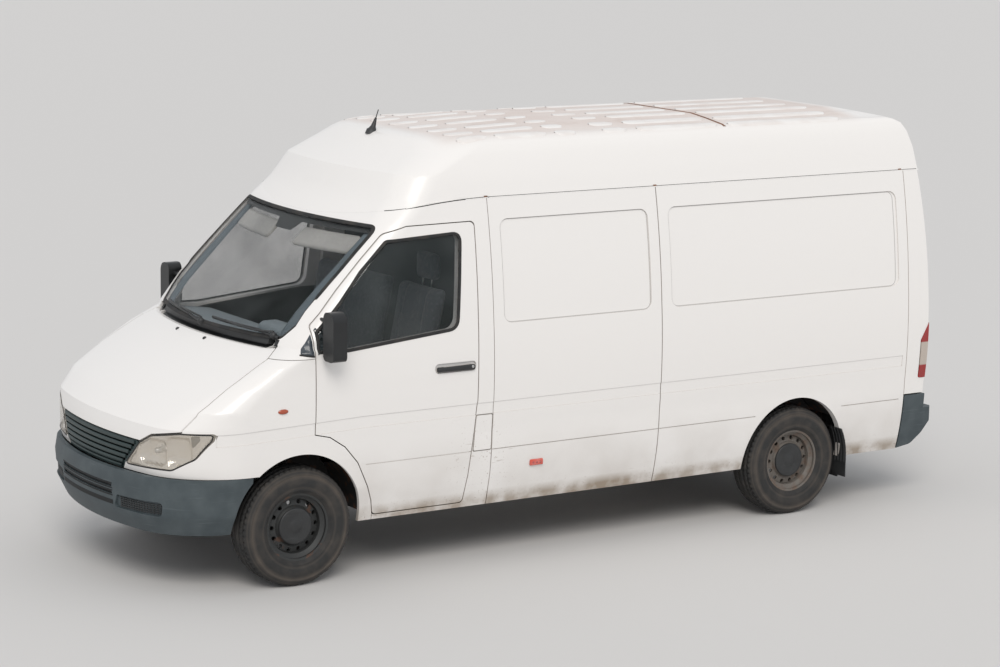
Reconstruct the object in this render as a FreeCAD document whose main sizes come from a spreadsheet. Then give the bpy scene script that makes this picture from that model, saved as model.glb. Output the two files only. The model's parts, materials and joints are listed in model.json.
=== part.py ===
import FreeCAD, Part
import math
import os
from types import SimpleNamespace

Vector = FreeCAD.Vector

# Driving dimensions: alias, value in millimetres or degrees, meaning.
# Stations along the van ("_at") are measured ahead of the front axle, so most are negative.
DRIVING = (
    ("front_overhang", 915, "front axle to bumper tip"),
    ("wheelbase", 3550, "front axle to rear axle"),
    ("rear_overhang", 1145, "rear axle to bumper step"),
    ("track", 1630, "tyre centre to tyre centre"),
    ("tyre_radius", 345, "outside of the tread"),
    ("tyre_width", 225, "section width"),
    ("bead_radius", 190, "tyre bead seat on the rim"),
    ("flange_radius", 208.5, "rim flange"),
    ("rim_half", 90, "half the rim's overall width"),
    ("rim_wall", 6, "rim barrel and disc wall"),
    ("drop_radius", 166, "rim drop centre, outside"),
    ("disc_offset", 38, "wheel disc face outward of the wheel plane"),
    ("hub_radius", 106, "raised hub cap"),
    ("hub_rise", 20, "hub cap beyond the disc face"),
    ("vent_radius", 13, "round vent hole in the disc"),
    ("vent_circle", 141, "vent hole circle radius"),
    ("vent_count", 14, "vent holes"),
    ("spindle_radius", 30, "wheel spindle"),
    ("bearing_gap", 0.3, "running gap at hubs and pins"),
    ("seat_gap", 0.3, "gap of a piece at rest to its seat"),
    ("shut_gap", 6, "shut line between body panels and moving panels"),
    ("sill_height", 330, "bottom of the body side"),
    ("sill_half", 885, "half width there"),
    ("flank_low_height", 530, "lower flank"),
    ("flank_low_half", 930, "half width there"),
    ("flank_height", 780, "upper flank"),
    ("flank_half", 950, "half width there"),
    ("waist_height", 1040, "widest line"),
    ("waist_half", 963.5, "half width there"),
    ("belt_height", 1440, "below the windows"),
    ("belt_half", 948, "half width there"),
    ("shoulder_height", 1745, "window mid height"),
    ("shoulder_half", 917, "half width there"),
    ("gutter_height", 2145, "roof gutter"),
    ("gutter_half", 848, "half width there"),
    ("gutter_size", 5, "gutter lip"),
    ("wall", 45, "body side wall, trim included"),
    ("door_wall", 60, "cab door thickness"),
    ("rebate", 35, "depth of the door frame behind the door"),
    ("rebate_lap", 45, "lap of the door frame behind the door edge"),
    ("roof_wall", 30, "roof shell"),
    ("skin", 25, "bonnet and wing thickness in plan"),
    ("glass", 6, "pane thickness"),
    ("glass_set", 8, "pane set in from the skin"),
    ("pillar_b_at", -1264, "seam behind the cab door"),
    ("pillar_c_at", -2471, "seam at the end of the sliding door"),
    ("pillar_d_at", -4420, "seam at the rear corner"),
    ("tail_at", -4600, "rear face of the doors"),
    ("tail_top_at", -4550, "rear face at the gutter"),
    ("crease_depth", 4, "depth of the band at the waist"),
    ("band_low", 890, "band bottom edge"),
    ("band_high", 960, "band top edge"),
    ("recess_depth", 8, "blind window panel recess"),
    ("recess_low", 1417, "blind window bottom"),
    ("recess_high", 2022, "blind window top"),
    ("recess_round", 55, "blind window corner radius"),
    ("recess_inset", 75, "blind window edge to the seam"),
    ("arch_front_radius", 400, "front wheel arch"),
    ("arch_front_height", 375, "front wheel arch centre height"),
    ("arch_rear_radius", 392, "rear wheel arch"),
    ("arch_rear_height", 368, "rear wheel arch centre height"),
    ("liner_radius", 490, "front wheelhouse radius"),
    ("liner_rear_radius", 425, "rear wheelhouse radius"),
    ("liner_wall", 10, "wheelhouse wall"),
    ("liner_inner", 436, "front wheelhouse inner wall"),
    ("liner_rear_inner", 650, "rear wheelhouse inner wall"),
    ("liner_outer", 822, "wheelhouse outer edge"),
    ("rail_offset", 400, "chassis rail centre line"),
    ("rail_width", 70, "chassis rail width"),
    ("rail_low", 470, "chassis rail bottom"),
    ("rail_high", 600, "chassis rail top"),
    ("cross_rise", 50, "cross-members start above the rail bottom"),
    ("rail_front_at", 690, "front end of the rails"),
    ("rail_rear_at", -4419.7, "rear end of the rails"),
    ("tow_bar_at", -4240, "centre of the tow bar bolts on the rails"),
    ("tow_spacing_along", 90, "tow bar bolts, along"),
    ("tow_spacing_up", 60, "tow bar bolts, up"),
    ("tow_bolt_radius", 6.5, "tow bar bolt hole"),
    ("tow_eye_radius", 9, "towing eye thread"),
    ("tow_eye_depth", 70, "towing eye thread depth"),
    ("tow_eye_height", 500, "towing eye thread axis"),
    ("tow_eye_room", 14, "radius of the hole for the towing eye in the bumper"),
    ("floor_height", 640, "load floor top"),
    ("floor_half", 880, "half width of the floor"),
    ("axle_tube_radius", 50, "rear axle tube"),
    ("diff_radius", 150, "differential housing"),
    ("steer_axis", 620, "steering axis from the centre line"),
    ("strut_radius", 28, "suspension strut"),
    ("engine_length", 600, "engine block"),
    ("engine_width", 500, "engine block"),
    ("engine_height", 480, "engine block"),
    ("engine_low", 470.3, "engine block bottom"),
    ("engine_front_at", 600, "front face of the engine block"),
    ("bonnet_hinge_at", 20, "bonnet hinge axis"),
    ("bonnet_hinge_height", 1385, "bonnet hinge axis"),
    ("bonnet_hinge_half", 690, "bonnet hinges from the centre line"),
    ("bonnet_pin_radius", 4, "bonnet hinge pin"),
    ("hinge_out", 963.5, "cab door hinge axis from the centre line"),
    ("hinge_at", -76, "cab door hinge axis"),
    ("door_open", 68, "cab door full opening"),
    ("door_edge_at", -82, "front shut line of the cab door"),
    ("rear_door_half", 775, "rear doors, outer edge"),
    ("rear_door_low", 600, "rear doors, bottom edge"),
    ("rear_corner_low", 700, "rear corner skin, bottom edge"),
    ("bumper_top", 690, "rear bumper corner, top edge"),
    ("bumper_step", 594, "rear bumper step"),
    ("bumper_wall", 26, "rear bumper moulding"),
    ("crease_height", 672, "lower crease line"),
    ("crease_size", 5, "width and depth of the creases and the rear seam"),
    ("rear_door_high", 2330, "rear doors, top edge"),
    ("rear_door_round", 120, "rear doors, top corner radius"),
    ("rear_door_wall", 50, "rear door thickness"),
    ("spare_at", -4070, "spare wheel centre"),
    ("spare_height", 310, "spare wheel centre"),
    ("aerial_height", 215, "aerial mast length"),
)

document = FreeCAD.newDocument("PanelVan")
sheet = document.addObject("Spreadsheet::Sheet", "Dimensions")
for row, (alias, value, meaning) in enumerate(DRIVING, start=1):
    sheet.set(f"A{row}", meaning)
    sheet.set(f"B{row}", str(value))
    sheet.setAlias(f"B{row}", alias)
document.recompute()
v = SimpleNamespace(**{alias: float(sheet.get(alias)) for alias, value, meaning in DRIVING})

overall_length = v.front_overhang + v.wheelbase + v.rear_overhang
front_axle = overall_length / 2 - v.front_overhang
LEFT = 1
RIGHT = -1
BIG = 3000

# Body side: three arcs from the sill to the gutter, as (half width, height) of low, middle, high.
WALL_ARCS = (
    ((v.sill_half, v.sill_height), (v.flank_low_half, v.flank_low_height), (v.flank_half, v.flank_height)),
    ((v.flank_half, v.flank_height), (v.waist_half, v.waist_height), (v.belt_half, v.belt_height)),
    ((v.belt_half, v.belt_height), (v.shoulder_half, v.shoulder_height), (v.gutter_half, v.gutter_height)),
)


def circle_through(low, middle, high):
    """Centre and radius of the circle through three (half width, height) points."""
    (ax, ay), (bx, by), (cx, cy) = low, middle, high
    twice = 2 * (ax * (by - cy) + bx * (cy - ay) + cx * (ay - by))
    a2, b2, c2 = ax * ax + ay * ay, bx * bx + by * by, cx * cx + cy * cy
    ux = (a2 * (by - cy) + b2 * (cy - ay) + c2 * (ay - by)) / twice
    uy = (a2 * (cx - bx) + b2 * (ax - cx) + c2 * (bx - ax)) / twice
    return ux, uy, math.hypot(ax - ux, ay - uy)


def half_width(height):
    """Half width of the body side at a height."""
    for arc in WALL_ARCS:
        if height <= arc[2][1]:
            break
    ux, uy, radius = circle_through(*arc)
    return ux + math.sqrt(radius ** 2 - (height - uy) ** 2)


# Plan sections of the front, bottom to top: height, nose (ahead of the front axle on the centre line),
# sweep (radius of the front), corner (radius where the front turns into the side).
BODY_ROWS = (
    (330, 700, 2000, 450),
    (530, 820, 2000, 490),
    (720, 866, 2350, 505),
    (870, 850, 2800, 480),
    (950, 831, 2930, 440),
    (1050, 714, 3350, 300),
    (1170, 516, 3400, 215),
    (1280, 320, 3300, 165),
    (1370, 172, 2600, 220),
    (1405, 180, 2150, 200),
    (1560, 18, 2850, 200),
    (1700, -129, 3000, 200),
    (1870, -307, 3100, 200),
    (2030, -475, 3200, 200),
    (2145, -595, 3200, 220),
)
# The bumper is its own moulding: height, nose, half width, sweep, corner.
BUMPER_ROWS = (
    (340, 850, 855, 2000, 450),
    (450, 905, 905, 2000, 480),
    (600, 915, 928, 2000, 500),
    (672, 900, 938, 2000, 500),
)
# The raised roof: height, nose, half width, sweep, corner, tail.
ROOF_ROWS = (
    (2030, -475, 869, 3200, 200, -4560),
    (2145, -595, 843, 3200, 220, -4550),
    (2290, -690, 804, 3000, 240, -4535),
    (2390, -870, 769, 2700, 280, -4510),
    (2442, -940, 741, 2500, 330, -4480),
    (2465, -975, 714, 2450, 360, -4437),
    (2480, -1030, 679, 2400, 380, -4390),
    (2505, -1542, 500, 2400, 380, -4287),
    (2522, -2008, 347, 2400, 300, -4207),
)


def plan_wire(height, nose, half, sweep, corner, tail, inset=0.0):
    """Closed plan section: straight sides, rounded front corners, swept front, square tail."""
    nose, half, sweep, corner = nose - inset, half - inset, sweep - inset, corner - inset
    centre = nose - sweep
    knuckle = centre + math.sqrt((sweep - corner) ** 2 - (half - corner) ** 2)
    turn = math.atan2(half - corner, knuckle - centre)
    middle = (turn + math.pi / 2) / 2

    def side_points(side):
        tangent = Vector(centre + sweep * math.cos(turn), side * sweep * math.sin(turn), height)
        bend = Vector(knuckle + corner * math.cos(middle),
                      side * (half - corner + corner * math.sin(middle)), height)
        return tangent, bend, Vector(knuckle, side * half, height), Vector(tail, side * half, height)

    right_front, right_bend, right_side, right_tail = side_points(RIGHT)
    left_front, left_bend, left_side, left_tail = side_points(LEFT)
    tip = Vector(nose, 0, height)
    edges = (
        Part.makeLine(right_tail, right_side),
        Part.Arc(right_side, right_bend, right_front).toShape(),
        Part.Arc(right_front, tip, left_front).toShape(),
        Part.Arc(left_front, left_bend, left_side).toShape(),
        Part.makeLine(left_side, left_tail),
        Part.makeLine(left_tail, right_tail),
    )
    return Part.Wire(edges)


def body_stack(inset, low=0, high=BIG):
    """Solid inside the body's outer surface ahead of the B pillar, set in by a distance."""
    rows = [row for row in BODY_ROWS if low <= row[0] <= high]
    wires = [plan_wire(height, nose, half_width(height), sweep, corner, v.pillar_b_at, inset)
             for height, nose, sweep, corner in rows]
    return Part.makeLoft(wires, True, True)


def bumper_stack(inset):
    wires = [plan_wire(height, nose, half, sweep, corner, 0, inset)
             for height, nose, half, sweep, corner in BUMPER_ROWS]
    return Part.makeLoft(wires, True, True)


def roof_stack(inset, drop):
    """Solid under the raised roof's outer surface, set in all round and lowered."""
    wires = [plan_wire(height - drop, nose, half, sweep, corner, tail + inset, inset)
             for height, nose, half, sweep, corner, tail in ROOF_ROWS]
    return Part.makeLoft(wires, True, True)


def point(normal, first, second, depth):
    """Point of a plane square to a named axis."""
    if normal == "X":
        return Vector(depth, first, second)
    if normal == "Y":
        return Vector(first, depth, second)
    return Vector(first, second, depth)


def outline(corners, normal, depth=0.0):
    """Closed wire through (first, second, radius) corners, each rounded by its radius."""
    count = len(corners)
    stations = []
    for index, (first, second, radius) in enumerate(corners):
        here = Vector(first, second, 0)
        before = Vector(*corners[index - 1][:2], 0)
        after = Vector(*corners[(index + 1) % count][:2], 0)
        if not radius:
            stations.append((here, None, here))
            continue
        back = (before - here).normalize()
        ahead = (after - here).normalize()
        half_angle = back.getAngle(ahead) / 2
        reach = radius / math.tan(half_angle)
        inward = (back + ahead).normalize()
        bend = here + inward * (radius / math.sin(half_angle) - radius)
        stations.append((here + back * reach, bend, here + ahead * reach))
    edges = []
    for index, (start, bend, end) in enumerate(stations):
        if bend is not None:
            trio = [point(normal, place.x, place.y, depth) for place in (start, bend, end)]
            edges.append(Part.Arc(*trio).toShape())
        following = stations[(index + 1) % count][0]
        if (following - end).Length > 1e-6:
            edges.append(Part.makeLine(point(normal, end.x, end.y, depth),
                                       point(normal, following.x, following.y, depth)))
    return Part.Wire(edges)


def prism(corners, normal, start, end):
    """Solid with a rounded outline, from one depth to another along the normal."""
    face = Part.Face(outline(corners, normal, start))
    return face.extrude(point(normal, 0, 0, end - start))


def box(x_low, x_high, y_low, y_high, z_low, z_high):
    return Part.makeBox(x_high - x_low, y_high - y_low, z_high - z_low, Vector(x_low, y_low, z_low))


def rounded_box(x_low, x_high, y_low, y_high, z_low, z_high, radius, normal="Y"):
    """Box with its four edges along the normal rounded."""
    spans = {"X": (y_low, y_high, z_low, z_high, x_low, x_high),
             "Y": (x_low, x_high, z_low, z_high, y_low, y_high),
             "Z": (x_low, x_high, y_low, y_high, z_low, z_high)}
    a, b, c, d, start, end = spans[normal]
    corners = ((a, c, radius), (b, c, radius), (b, d, radius), (a, d, radius))
    return prism(corners, normal, start, end)


def rod(start, end, radius):
    start, end = Vector(*start), Vector(*end)
    return Part.makeCylinder(radius, (end - start).Length, start, end - start)


def mirrored(shape):
    """The right-hand copy of a left-hand shape."""
    return shape.mirror(Vector(0, 0, 0), Vector(0, 1, 0))


def fused(*shapes):
    whole = shapes[0].fuse(list(shapes[1:]))
    return whole.removeSplitter()


def grown(corners, distance):
    """Outline moved outward by a distance (corners run counter-clockwise), radii kept."""
    count = len(corners)
    result = []
    for index, (first, second, radius) in enumerate(corners):
        here = Vector(first, second, 0)
        before = Vector(*corners[index - 1][:2], 0)
        after = Vector(*corners[(index + 1) % count][:2], 0)
        into = (here - before).normalize()
        out = (after - here).normalize()
        normal_in = Vector(into.y, -into.x, 0)
        normal_out = Vector(out.y, -out.x, 0)
        bisector = (normal_in + normal_out).normalize()
        shift = bisector * (distance / bisector.dot(normal_in))
        result.append((here.x + shift.x, here.y + shift.y, radius))
    return result


subparts = []


def add(label, shape):
    """Put a shape, built about the front axle, into the document as a named sub-part."""
    solids = shape.Solids
    whole = solids[0] if len(solids) == 1 else Part.makeCompound(solids)
    feature = document.addObject("Part::Feature", label)
    feature.Label = label
    own_place = whole.Placement
    feature.Shape = whole
    shift = FreeCAD.Placement(Vector(front_axle, 0, 0), FreeCAD.Rotation())
    feature.Placement = shift.multiply(own_place)
    subparts.append(feature)
    return feature


def add_pair(name, shape):
    """A left-hand shape and its mirror image as two sub-parts."""
    add(f"{name}_left", shape)
    add(f"{name}_right", mirrored(shape))


def wall_slab(x_rear, x_front, outer, inner):
    """Left body side between two insets from the skin, from one station to another."""
    rising = [Part.Arc(*(Vector(x_rear, half - outer, height) for half, height in arc)).toShape()
              for arc in WALL_ARCS]
    falling = [Part.Arc(*(Vector(x_rear, half - inner, height) for half, height in arc)).toShape()
               for arc in WALL_ARCS]
    low = Part.makeLine(Vector(x_rear, v.sill_half - outer, v.sill_height),
                        Vector(x_rear, v.sill_half - inner, v.sill_height))
    high = Part.makeLine(Vector(x_rear, v.gutter_half - outer, v.gutter_height),
                         Vector(x_rear, v.gutter_half - inner, v.gutter_height))
    wire = Part.Wire(Part.__sortEdges__(rising + falling + [low, high]))
    return Part.Face(wire).extrude(Vector(x_front - x_rear, 0, 0))


# Cab door outline in side view, counter-clockwise seen from the left side's mirror: x, z, radius.
DOOR_OUTLINE = (
    (-1097, 360, 25),
    (-488, 360, 25),
    (-470, 450, 0),
    (-433, 547, 0),
    (-365, 687, 0),
    (-276, 791, 0),
    (-176, 857, 0),
    (v.door_edge_at, 880, 0),
    (v.door_edge_at, 1490, 40),
    (-264, 1683, 0),
    (-429, 1844, 0),
    (-572, 1976, 90),
    (-713, 2016, 0),
    (-1166, 2020, 30),
    (-1156, 980, 0),
)
# Door window outline in side view.
WINDOW_OUTLINE = (
    (-105, 1350, 8),
    (-105, 1458, 8),
    (-259, 1615, 0),
    (-404, 1777, 0),
    (-578, 1938, 40),
    (-1067, 1960, 50),
    (-1020, 1412, 70),
    (-295, 1345, 0),
)
# Fog lamp recess in the bumper in front view, left side.
FOG_OUTLINE = (
    (345, 452, 14),
    (706, 452, 22),
    (718, 536, 22),
    (376, 528, 14),
)
# Cooling slots in the bumper: height of the middle.
SLOT_HEIGHTS = (530, 572)
SLOT_HALF = 330
SLOT_RISE = 17
# Grille slots: lowest, pitch, count, height of one.
GRILLE_SLOTS = (690, 31, 5, 19)
# Windscreen opening in front view: y, z, radius.
SCREEN_OUTLINE = (
    (-760, 1402, 40),
    (760, 1402, 40),
    (803, 1480, 0),
    (796, 1780, 0),
    (785, 2010, 45),
    (-785, 2010, 45),
    (-796, 1780, 0),
    (-803, 1480, 0),
)
# Headlamp outline in front view, left side.
LAMP_OUTLINE = (
    (400, 706, 15),
    (617, 714, 30),
    (748, 716, 60),
    (852, 790, 60),
    (912, 900, 12),
    (921, 941, 10),
    (794, 938, 0),
    (616, 907, 40),
    (524, 855, 20),
)
# Grille outline in front view.
GRILLE_OUTLINE = (
    (-368, 674, 10),
    (368, 674, 10),
    (518, 854, 15),
    (-518, 854, 15),
)


def shell(outer, inner, low=0, high=BIG):
    return body_stack(outer, low, high).cut(body_stack(inner, low, high))


def left_half(shape):
    return shape.common(box(-5000, 2000, 0, 1500, 0, 3000))


def counter_clockwise(corners):
    area = sum(corners[i - 1][0] * corners[i][1] - corners[i][0] * corners[i - 1][1]
               for i in range(len(corners)))
    return list(corners) if area > 0 else list(reversed(corners))


DOOR = counter_clockwise(DOOR_OUTLINE)
WINDOW = counter_clockwise(WINDOW_OUTLINE)
SCREEN = counter_clockwise(SCREEN_OUTLINE)
LAMP = counter_clockwise(LAMP_OUTLINE)
GRILLE = counter_clockwise(GRILLE_OUTLINE)


def side_prism(corners):
    return prism(corners, "Y", 1, BIG)


def front_prism(corners, start):
    return prism(corners, "X", start, BIG)


def arch_cutter(axle_at, height, radius):
    """Wheel arch opening through the left body side."""
    drum = Part.makeCylinder(radius, BIG, Vector(axle_at, 1, height), Vector(0, 1, 0))
    legs = box(axle_at - radius, axle_at + radius, 1, BIG, 0, height)
    return drum.fuse(legs)


# Waist band in side view, ahead of the B pillar, and the line of the lower crease.
FRONT_BAND = (
    (v.pillar_b_at - 10, v.band_low, 0),
    (-400, v.band_low, 0),
    (520, v.band_low - 28, 0),
    (520, v.band_high - 28, 0),
    (-400, v.band_high, 0),
    (v.pillar_b_at - 10, v.band_high, 0),
)
CREASE_FRONT_AT = -418
CREASE_ENDS = ((-3215, CREASE_FRONT_AT), (-4380, -3905))

door_gap = v.shut_gap / 2
door_whole = side_prism(grown(DOOR, -door_gap))
door_room = side_prism(grown(DOOR, door_gap))
window_hole = side_prism(WINDOW)
arch_front = arch_cutter(0, v.arch_front_height, v.arch_front_radius)
arch_rear = arch_cutter(-v.wheelbase, v.arch_rear_height, v.arch_rear_radius)

roof_line_at = -1280
roof_line = (
    (-4700, v.gutter_height, 0),
    (roof_line_at, v.gutter_height, 0),
    (-880, 2135, 0),
    (-620, 2090, 0),
    (-480, 2034, 0),
    (0, 2034, 0),
    (0, 2900, 0),
    (-4700, 2900, 0),
)
above_roof_line = prism(counter_clockwise(roof_line), "Y", -BIG, BIG)
wing_seam = 1318


def front_band():
    """Layer to take off the left skin for the waist band ahead of the B pillar."""
    layer = left_half(shell(-v.crease_size, v.crease_depth, 720, 1170))
    return layer.common(side_prism(FRONT_BAND))


def lower_creases():
    """Grooves along the left body side at the lower crease."""
    strips = [wall_slab(rear, front, -v.crease_size, v.crease_size).common(
        box(rear, front, 0, BIG, v.crease_height - v.crease_size / 2, v.crease_height + v.crease_size / 2))
        for rear, front in CREASE_ENDS]
    return strips[0].fuse(strips[1])


def door_swing_room():
    """Room that the inside of the left door's front edge sweeps as the door opens."""
    reach = left_half(shell(-door_gap, v.door_wall + v.shut_gap, 1170, 1870))
    strip = reach.common(side_prism(grown(DOOR, door_gap))).common(box(-640, 0, 0, BIG, 1200, 1868))
    swept = []
    for angle in (4, 8, 12, 16, 21, 26, 32):
        turned = strip.copy()
        turned.rotate(Vector(v.hinge_at, v.hinge_out, 0), Vector(0, 0, 1), -angle)
        swept.append(turned)
    return swept


def make_cab_doors():
    body = left_half(shell(0, v.door_wall)).common(door_whole).cut(window_hole)
    body = body.cut(front_band()).cut(lower_creases())
    handle = rounded_box(-1140, -862, half_width(1186) - 14, BIG, 1160, 1216, 24, "Y")
    add_pair("door", body.cut(handle))
    pane = left_half(shell(v.glass_set + 6, v.glass_set + 6 + v.glass, 1200, 2145))
    pane = pane.common(side_prism(grown(WINDOW, -v.seat_gap)))
    add_pair("door_glass", pane)


def make_cab_frame():
    depth = v.door_wall + v.rebate
    ring = left_half(shell(0, depth))
    front = box(v.door_edge_at, BIG, 0, BIG, 0, wing_seam)
    ring = ring.cut(left_half(body_stack(0).cut(body_stack(v.door_wall + v.seat_gap))).common(door_room))
    ring = ring.cut(side_prism(grown(DOOR, -v.rebate_lap)))
    ring = ring.cut(front).cut(arch_front).cut(above_roof_line)
    ring = ring.cut(side_prism(counter_clockwise(WING_REGION)))
    ring = ring.cut(door_swing_room()).cut(front_band())
    whole = ring.fuse(mirrored(ring))
    lift_room = bonnet_region(v.shut_gap).translated(Vector(0, 0, v.shut_gap + 3))
    whole = whole.cut(front_prism(SCREEN, -700)).cut(bonnet_region(v.shut_gap)).cut(lift_room)
    whole = whole.cut(front_liner_room())
    whole = whole.cut(box(-400, BIG, -760, 760, 0, 1403))
    flap = flap_prism(door_gap).common(wall_slab(-1400, -1000, -10, 14 + v.seat_gap))
    add("cab_frame", whole.cut(flap))


# Region of the wing in side view, ahead of the door's front edge.
WING_REGION = (
    (-488, 300, 0),
    (-488, 360, 0),
    (-470, 450, 0),
    (-433, 547, 0),
    (-365, 687, 0),
    (-276, 791, 0),
    (-176, 857, 0),
    (v.door_edge_at, 880, 0),
    (v.door_edge_at, wing_seam, 0),
    (1000, wing_seam, 0),
    (1000, 300, 0),
)
FLAP = (
    (v.pillar_b_at + 2, 672, 10),
    (-1136, 672, 10),
    (-1150, 888, 10),
    (v.pillar_b_at + 2, 888, 10),
)


def flap_prism(distance):
    corners = grown(FLAP, distance)
    return prism(corners, "Y", 900, BIG)


def make_wings():
    panel = left_half(shell(0, v.skin, 330, 1405))
    region = side_prism(grown(counter_clockwise(WING_REGION), -door_gap))
    panel = panel.common(region).cut(arch_front)
    upper = box(-400, 1200, -BIG, 700, 960, 1500)
    panel = panel.cut(upper)
    panel = panel.cut(front_prism(grown(LAMP, v.seat_gap), 400)).cut(bonnet_region(v.shut_gap))
    panel = panel.cut(box(-BIG, BIG, 0, 560, 718, 1000)).cut(box(-BIG, BIG, 0, 362, 0, 1000))
    panel = panel.cut(front_prism(grown(GRILLE, v.seat_gap), 400)).cut(front_band())
    bumper_zone = box(arch_lip_at(672), 1200, 0, BIG, 0, 675)
    panel = panel.cut(bumper_zone)
    add_pair("wing", panel)


def arch_lip_at(height):
    rise = height - v.arch_front_height
    return math.sqrt(max(v.arch_front_radius ** 2 - rise ** 2, 0)) - 1


# Bonnet in plan, right half mirrored from the left, and in front view.
BONNET_PLAN = ((58, 759, 0), (152, 817, 0), (334, 830, 0), (528, 834, 0), (600, 829, 0), (681, 794, 0),
               (1000, 760, 0))
BONNET_FRONT = ((528, 862, 20), (616, 912, 40), (794, 944, 0), (845, 953, 0), (900, 1372, 0), (690, 1352, 0))


def both_sides(corners, swap):
    """Closed outline from the left half's corners; swap tells which value changes sign."""
    flip = [(first, -second, radius) if swap == 1 else (-first, second, radius)
            for first, second, radius in reversed(corners)]
    return counter_clockwise(list(corners) + flip)


def bonnet_region(distance):
    plan = prism(grown(both_sides(BONNET_PLAN, 1), distance), "Z", 300, 1500)
    front = prism(grown(both_sides(BONNET_FRONT, 0), distance), "X", -200, 1200)
    return plan.common(front)


def hinge_room(width):
    """Slots over the two bonnet hinges, of a width along the pins."""
    slots = [box(v.bonnet_hinge_at - 60, 400, side * v.bonnet_hinge_half - width / 2,
                 side * v.bonnet_hinge_half + width / 2, 1300, 1420) for side in (LEFT, RIGHT)]
    return slots[0].fuse(slots[1])


def make_bonnet():
    panel = shell(0, v.skin + 10, 720, 1405).common(bonnet_region(0))
    rear_edge = 20
    panel = panel.cut(body_stack(rear_edge, 1170, 1560).common(box(-BIG, BIG, -BIG, BIG, 1330, BIG)))
    corner = box(-BIG, 76, 752, BIG, 1330, BIG)
    panel = panel.cut(corner).cut(mirrored(corner))
    eye_wall = 5
    strap = 12
    axis = (v.bonnet_hinge_at, v.bonnet_hinge_height)
    arms = []
    for side in (LEFT, RIGHT):
        start = side * v.bonnet_hinge_half - strap / 2
        arm = prism(((axis[0] - 7, axis[1] - 4, 0), (axis[0] + 14, axis[1] - 49, 0),
                     (axis[0] + 92, axis[1] - 69, 0), (axis[0] + 112, axis[1] - 55, 0),
                     (axis[0] + 92, axis[1] - 40, 0), (axis[0] + 26, axis[1] - 25, 0),
                     (axis[0] + 7, axis[1] - 3, 0)), "Y", start, start + strap)
        arm = arm.common(body_stack(8, 1170, 1405))
        eye = Part.makeCylinder(v.bonnet_pin_radius + eye_wall, strap,
                                Vector(axis[0], start, axis[1]), Vector(0, 1, 0))
        arms.append(arm.fuse(eye))
    whole = fused(panel, *arms)
    for side in (LEFT, RIGHT):
        whole = whole.cut(Part.makeCylinder(v.bonnet_pin_radius + v.bearing_gap, 2 * strap,
                                            Vector(axis[0], side * v.bonnet_hinge_half - strap, axis[1]),
                                            Vector(0, 1, 0)))
    add("bonnet", whole)


def front_liner_room():
    drum = Part.makeCylinder(v.liner_radius + 4, 2 * 870, Vector(0, -870, v.tyre_radius), Vector(0, 1, 0))
    return drum.common(box(-BIG, 0, -BIG, BIG, 0, BIG))


def slot_prism(half, middle, rise, start):
    low, high = middle - rise / 2, middle + rise / 2
    rounding = rise / 2 - 1
    corners = ((-half, low, rounding), (half, low, rounding), (half, high, rounding), (-half, high, rounding))
    return front_prism(corners, start)


def make_front():
    grille = shell(6, 40, 530, 950).common(front_prism(GRILLE, 400))
    (low_y, low_z), (high_y, high_z) = GRILLE_OUTLINE[1][:2], GRILLE_OUTLINE[2][:2]
    first, pitch, count, rise = GRILLE_SLOTS
    frame = 22
    for index in range(count):
        middle = first + pitch * index + rise / 2
        edge = low_y + (high_y - low_y) * (middle - low_z) / (high_z - low_z)
        grille = grille.cut(slot_prism(edge - frame, middle, rise, 400))
    add("grille", grille)
    lamp = left_half(shell(0, 90, 530, 1050)).common(front_prism(LAMP, 400))
    add("headlamps", Part.makeCompound([lamp, mirrored(lamp)]))
    thick = 30
    bumper = bumper_stack(0).cut(bumper_stack(thick))
    fog = bumper_stack(0).cut(bumper_stack(thick / 2)).common(front_prism(counter_clockwise(FOG_OUTLINE), 300))
    bumper = bumper.cut(fog).cut(mirrored(fog))
    for height in SLOT_HEIGHTS:
        bumper = bumper.cut(slot_prism(SLOT_HALF, height, SLOT_RISE, 300))
    bracket = box(v.rail_front_at + v.seat_gap, 900, v.rail_offset - 30, v.rail_offset + 30,
                  v.rail_high - 40, v.rail_high).common(bumper_stack(thick - 1))
    bumper = bumper.cut(rod((v.rail_front_at, -v.rail_offset, v.tow_eye_height),
                            (BIG, -v.rail_offset, v.tow_eye_height), v.tow_eye_room))
    bumper = bumper.cut(box(-BIG, 300, -BIG, BIG, 0, BIG))
    bumper = bumper.cut(arch_front).cut(mirrored(arch_front))
    add("front_bumper", fused(bumper, bracket, mirrored(bracket)))
    # Radiator panel: carries lamps, grille and the bonnet catch, and stands on the rails.
    panel = shell(90 + v.seat_gap, 120, 530, 1050).common(box(400, BIG, -880, 880, 640, 950))
    spacers = shell(40 + v.seat_gap, 100, 530, 950)
    top = spacers.common(box(400, BIG, -380, 380, 858, 880)).fuse(
        spacers.common(box(400, BIG, -380, 380, 842, 860)))
    bottom = spacers.common(box(400, BIG, -380, 380, 650, 686))
    window = box(400, BIG, -340, 340, 690, 838)
    legs = [box(v.rail_front_at - 70, v.rail_front_at + 40, min(side * 365, side * 435),
                max(side * 365, side * 435), v.rail_high + v.seat_gap, 660) for side in (LEFT, RIGHT)]
    panel = fused(panel.cut(window), top, bottom, *legs)
    core = box(630, 662, -370, 370, 640, 900)
    add("radiator_panel", fused(panel, core))


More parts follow.
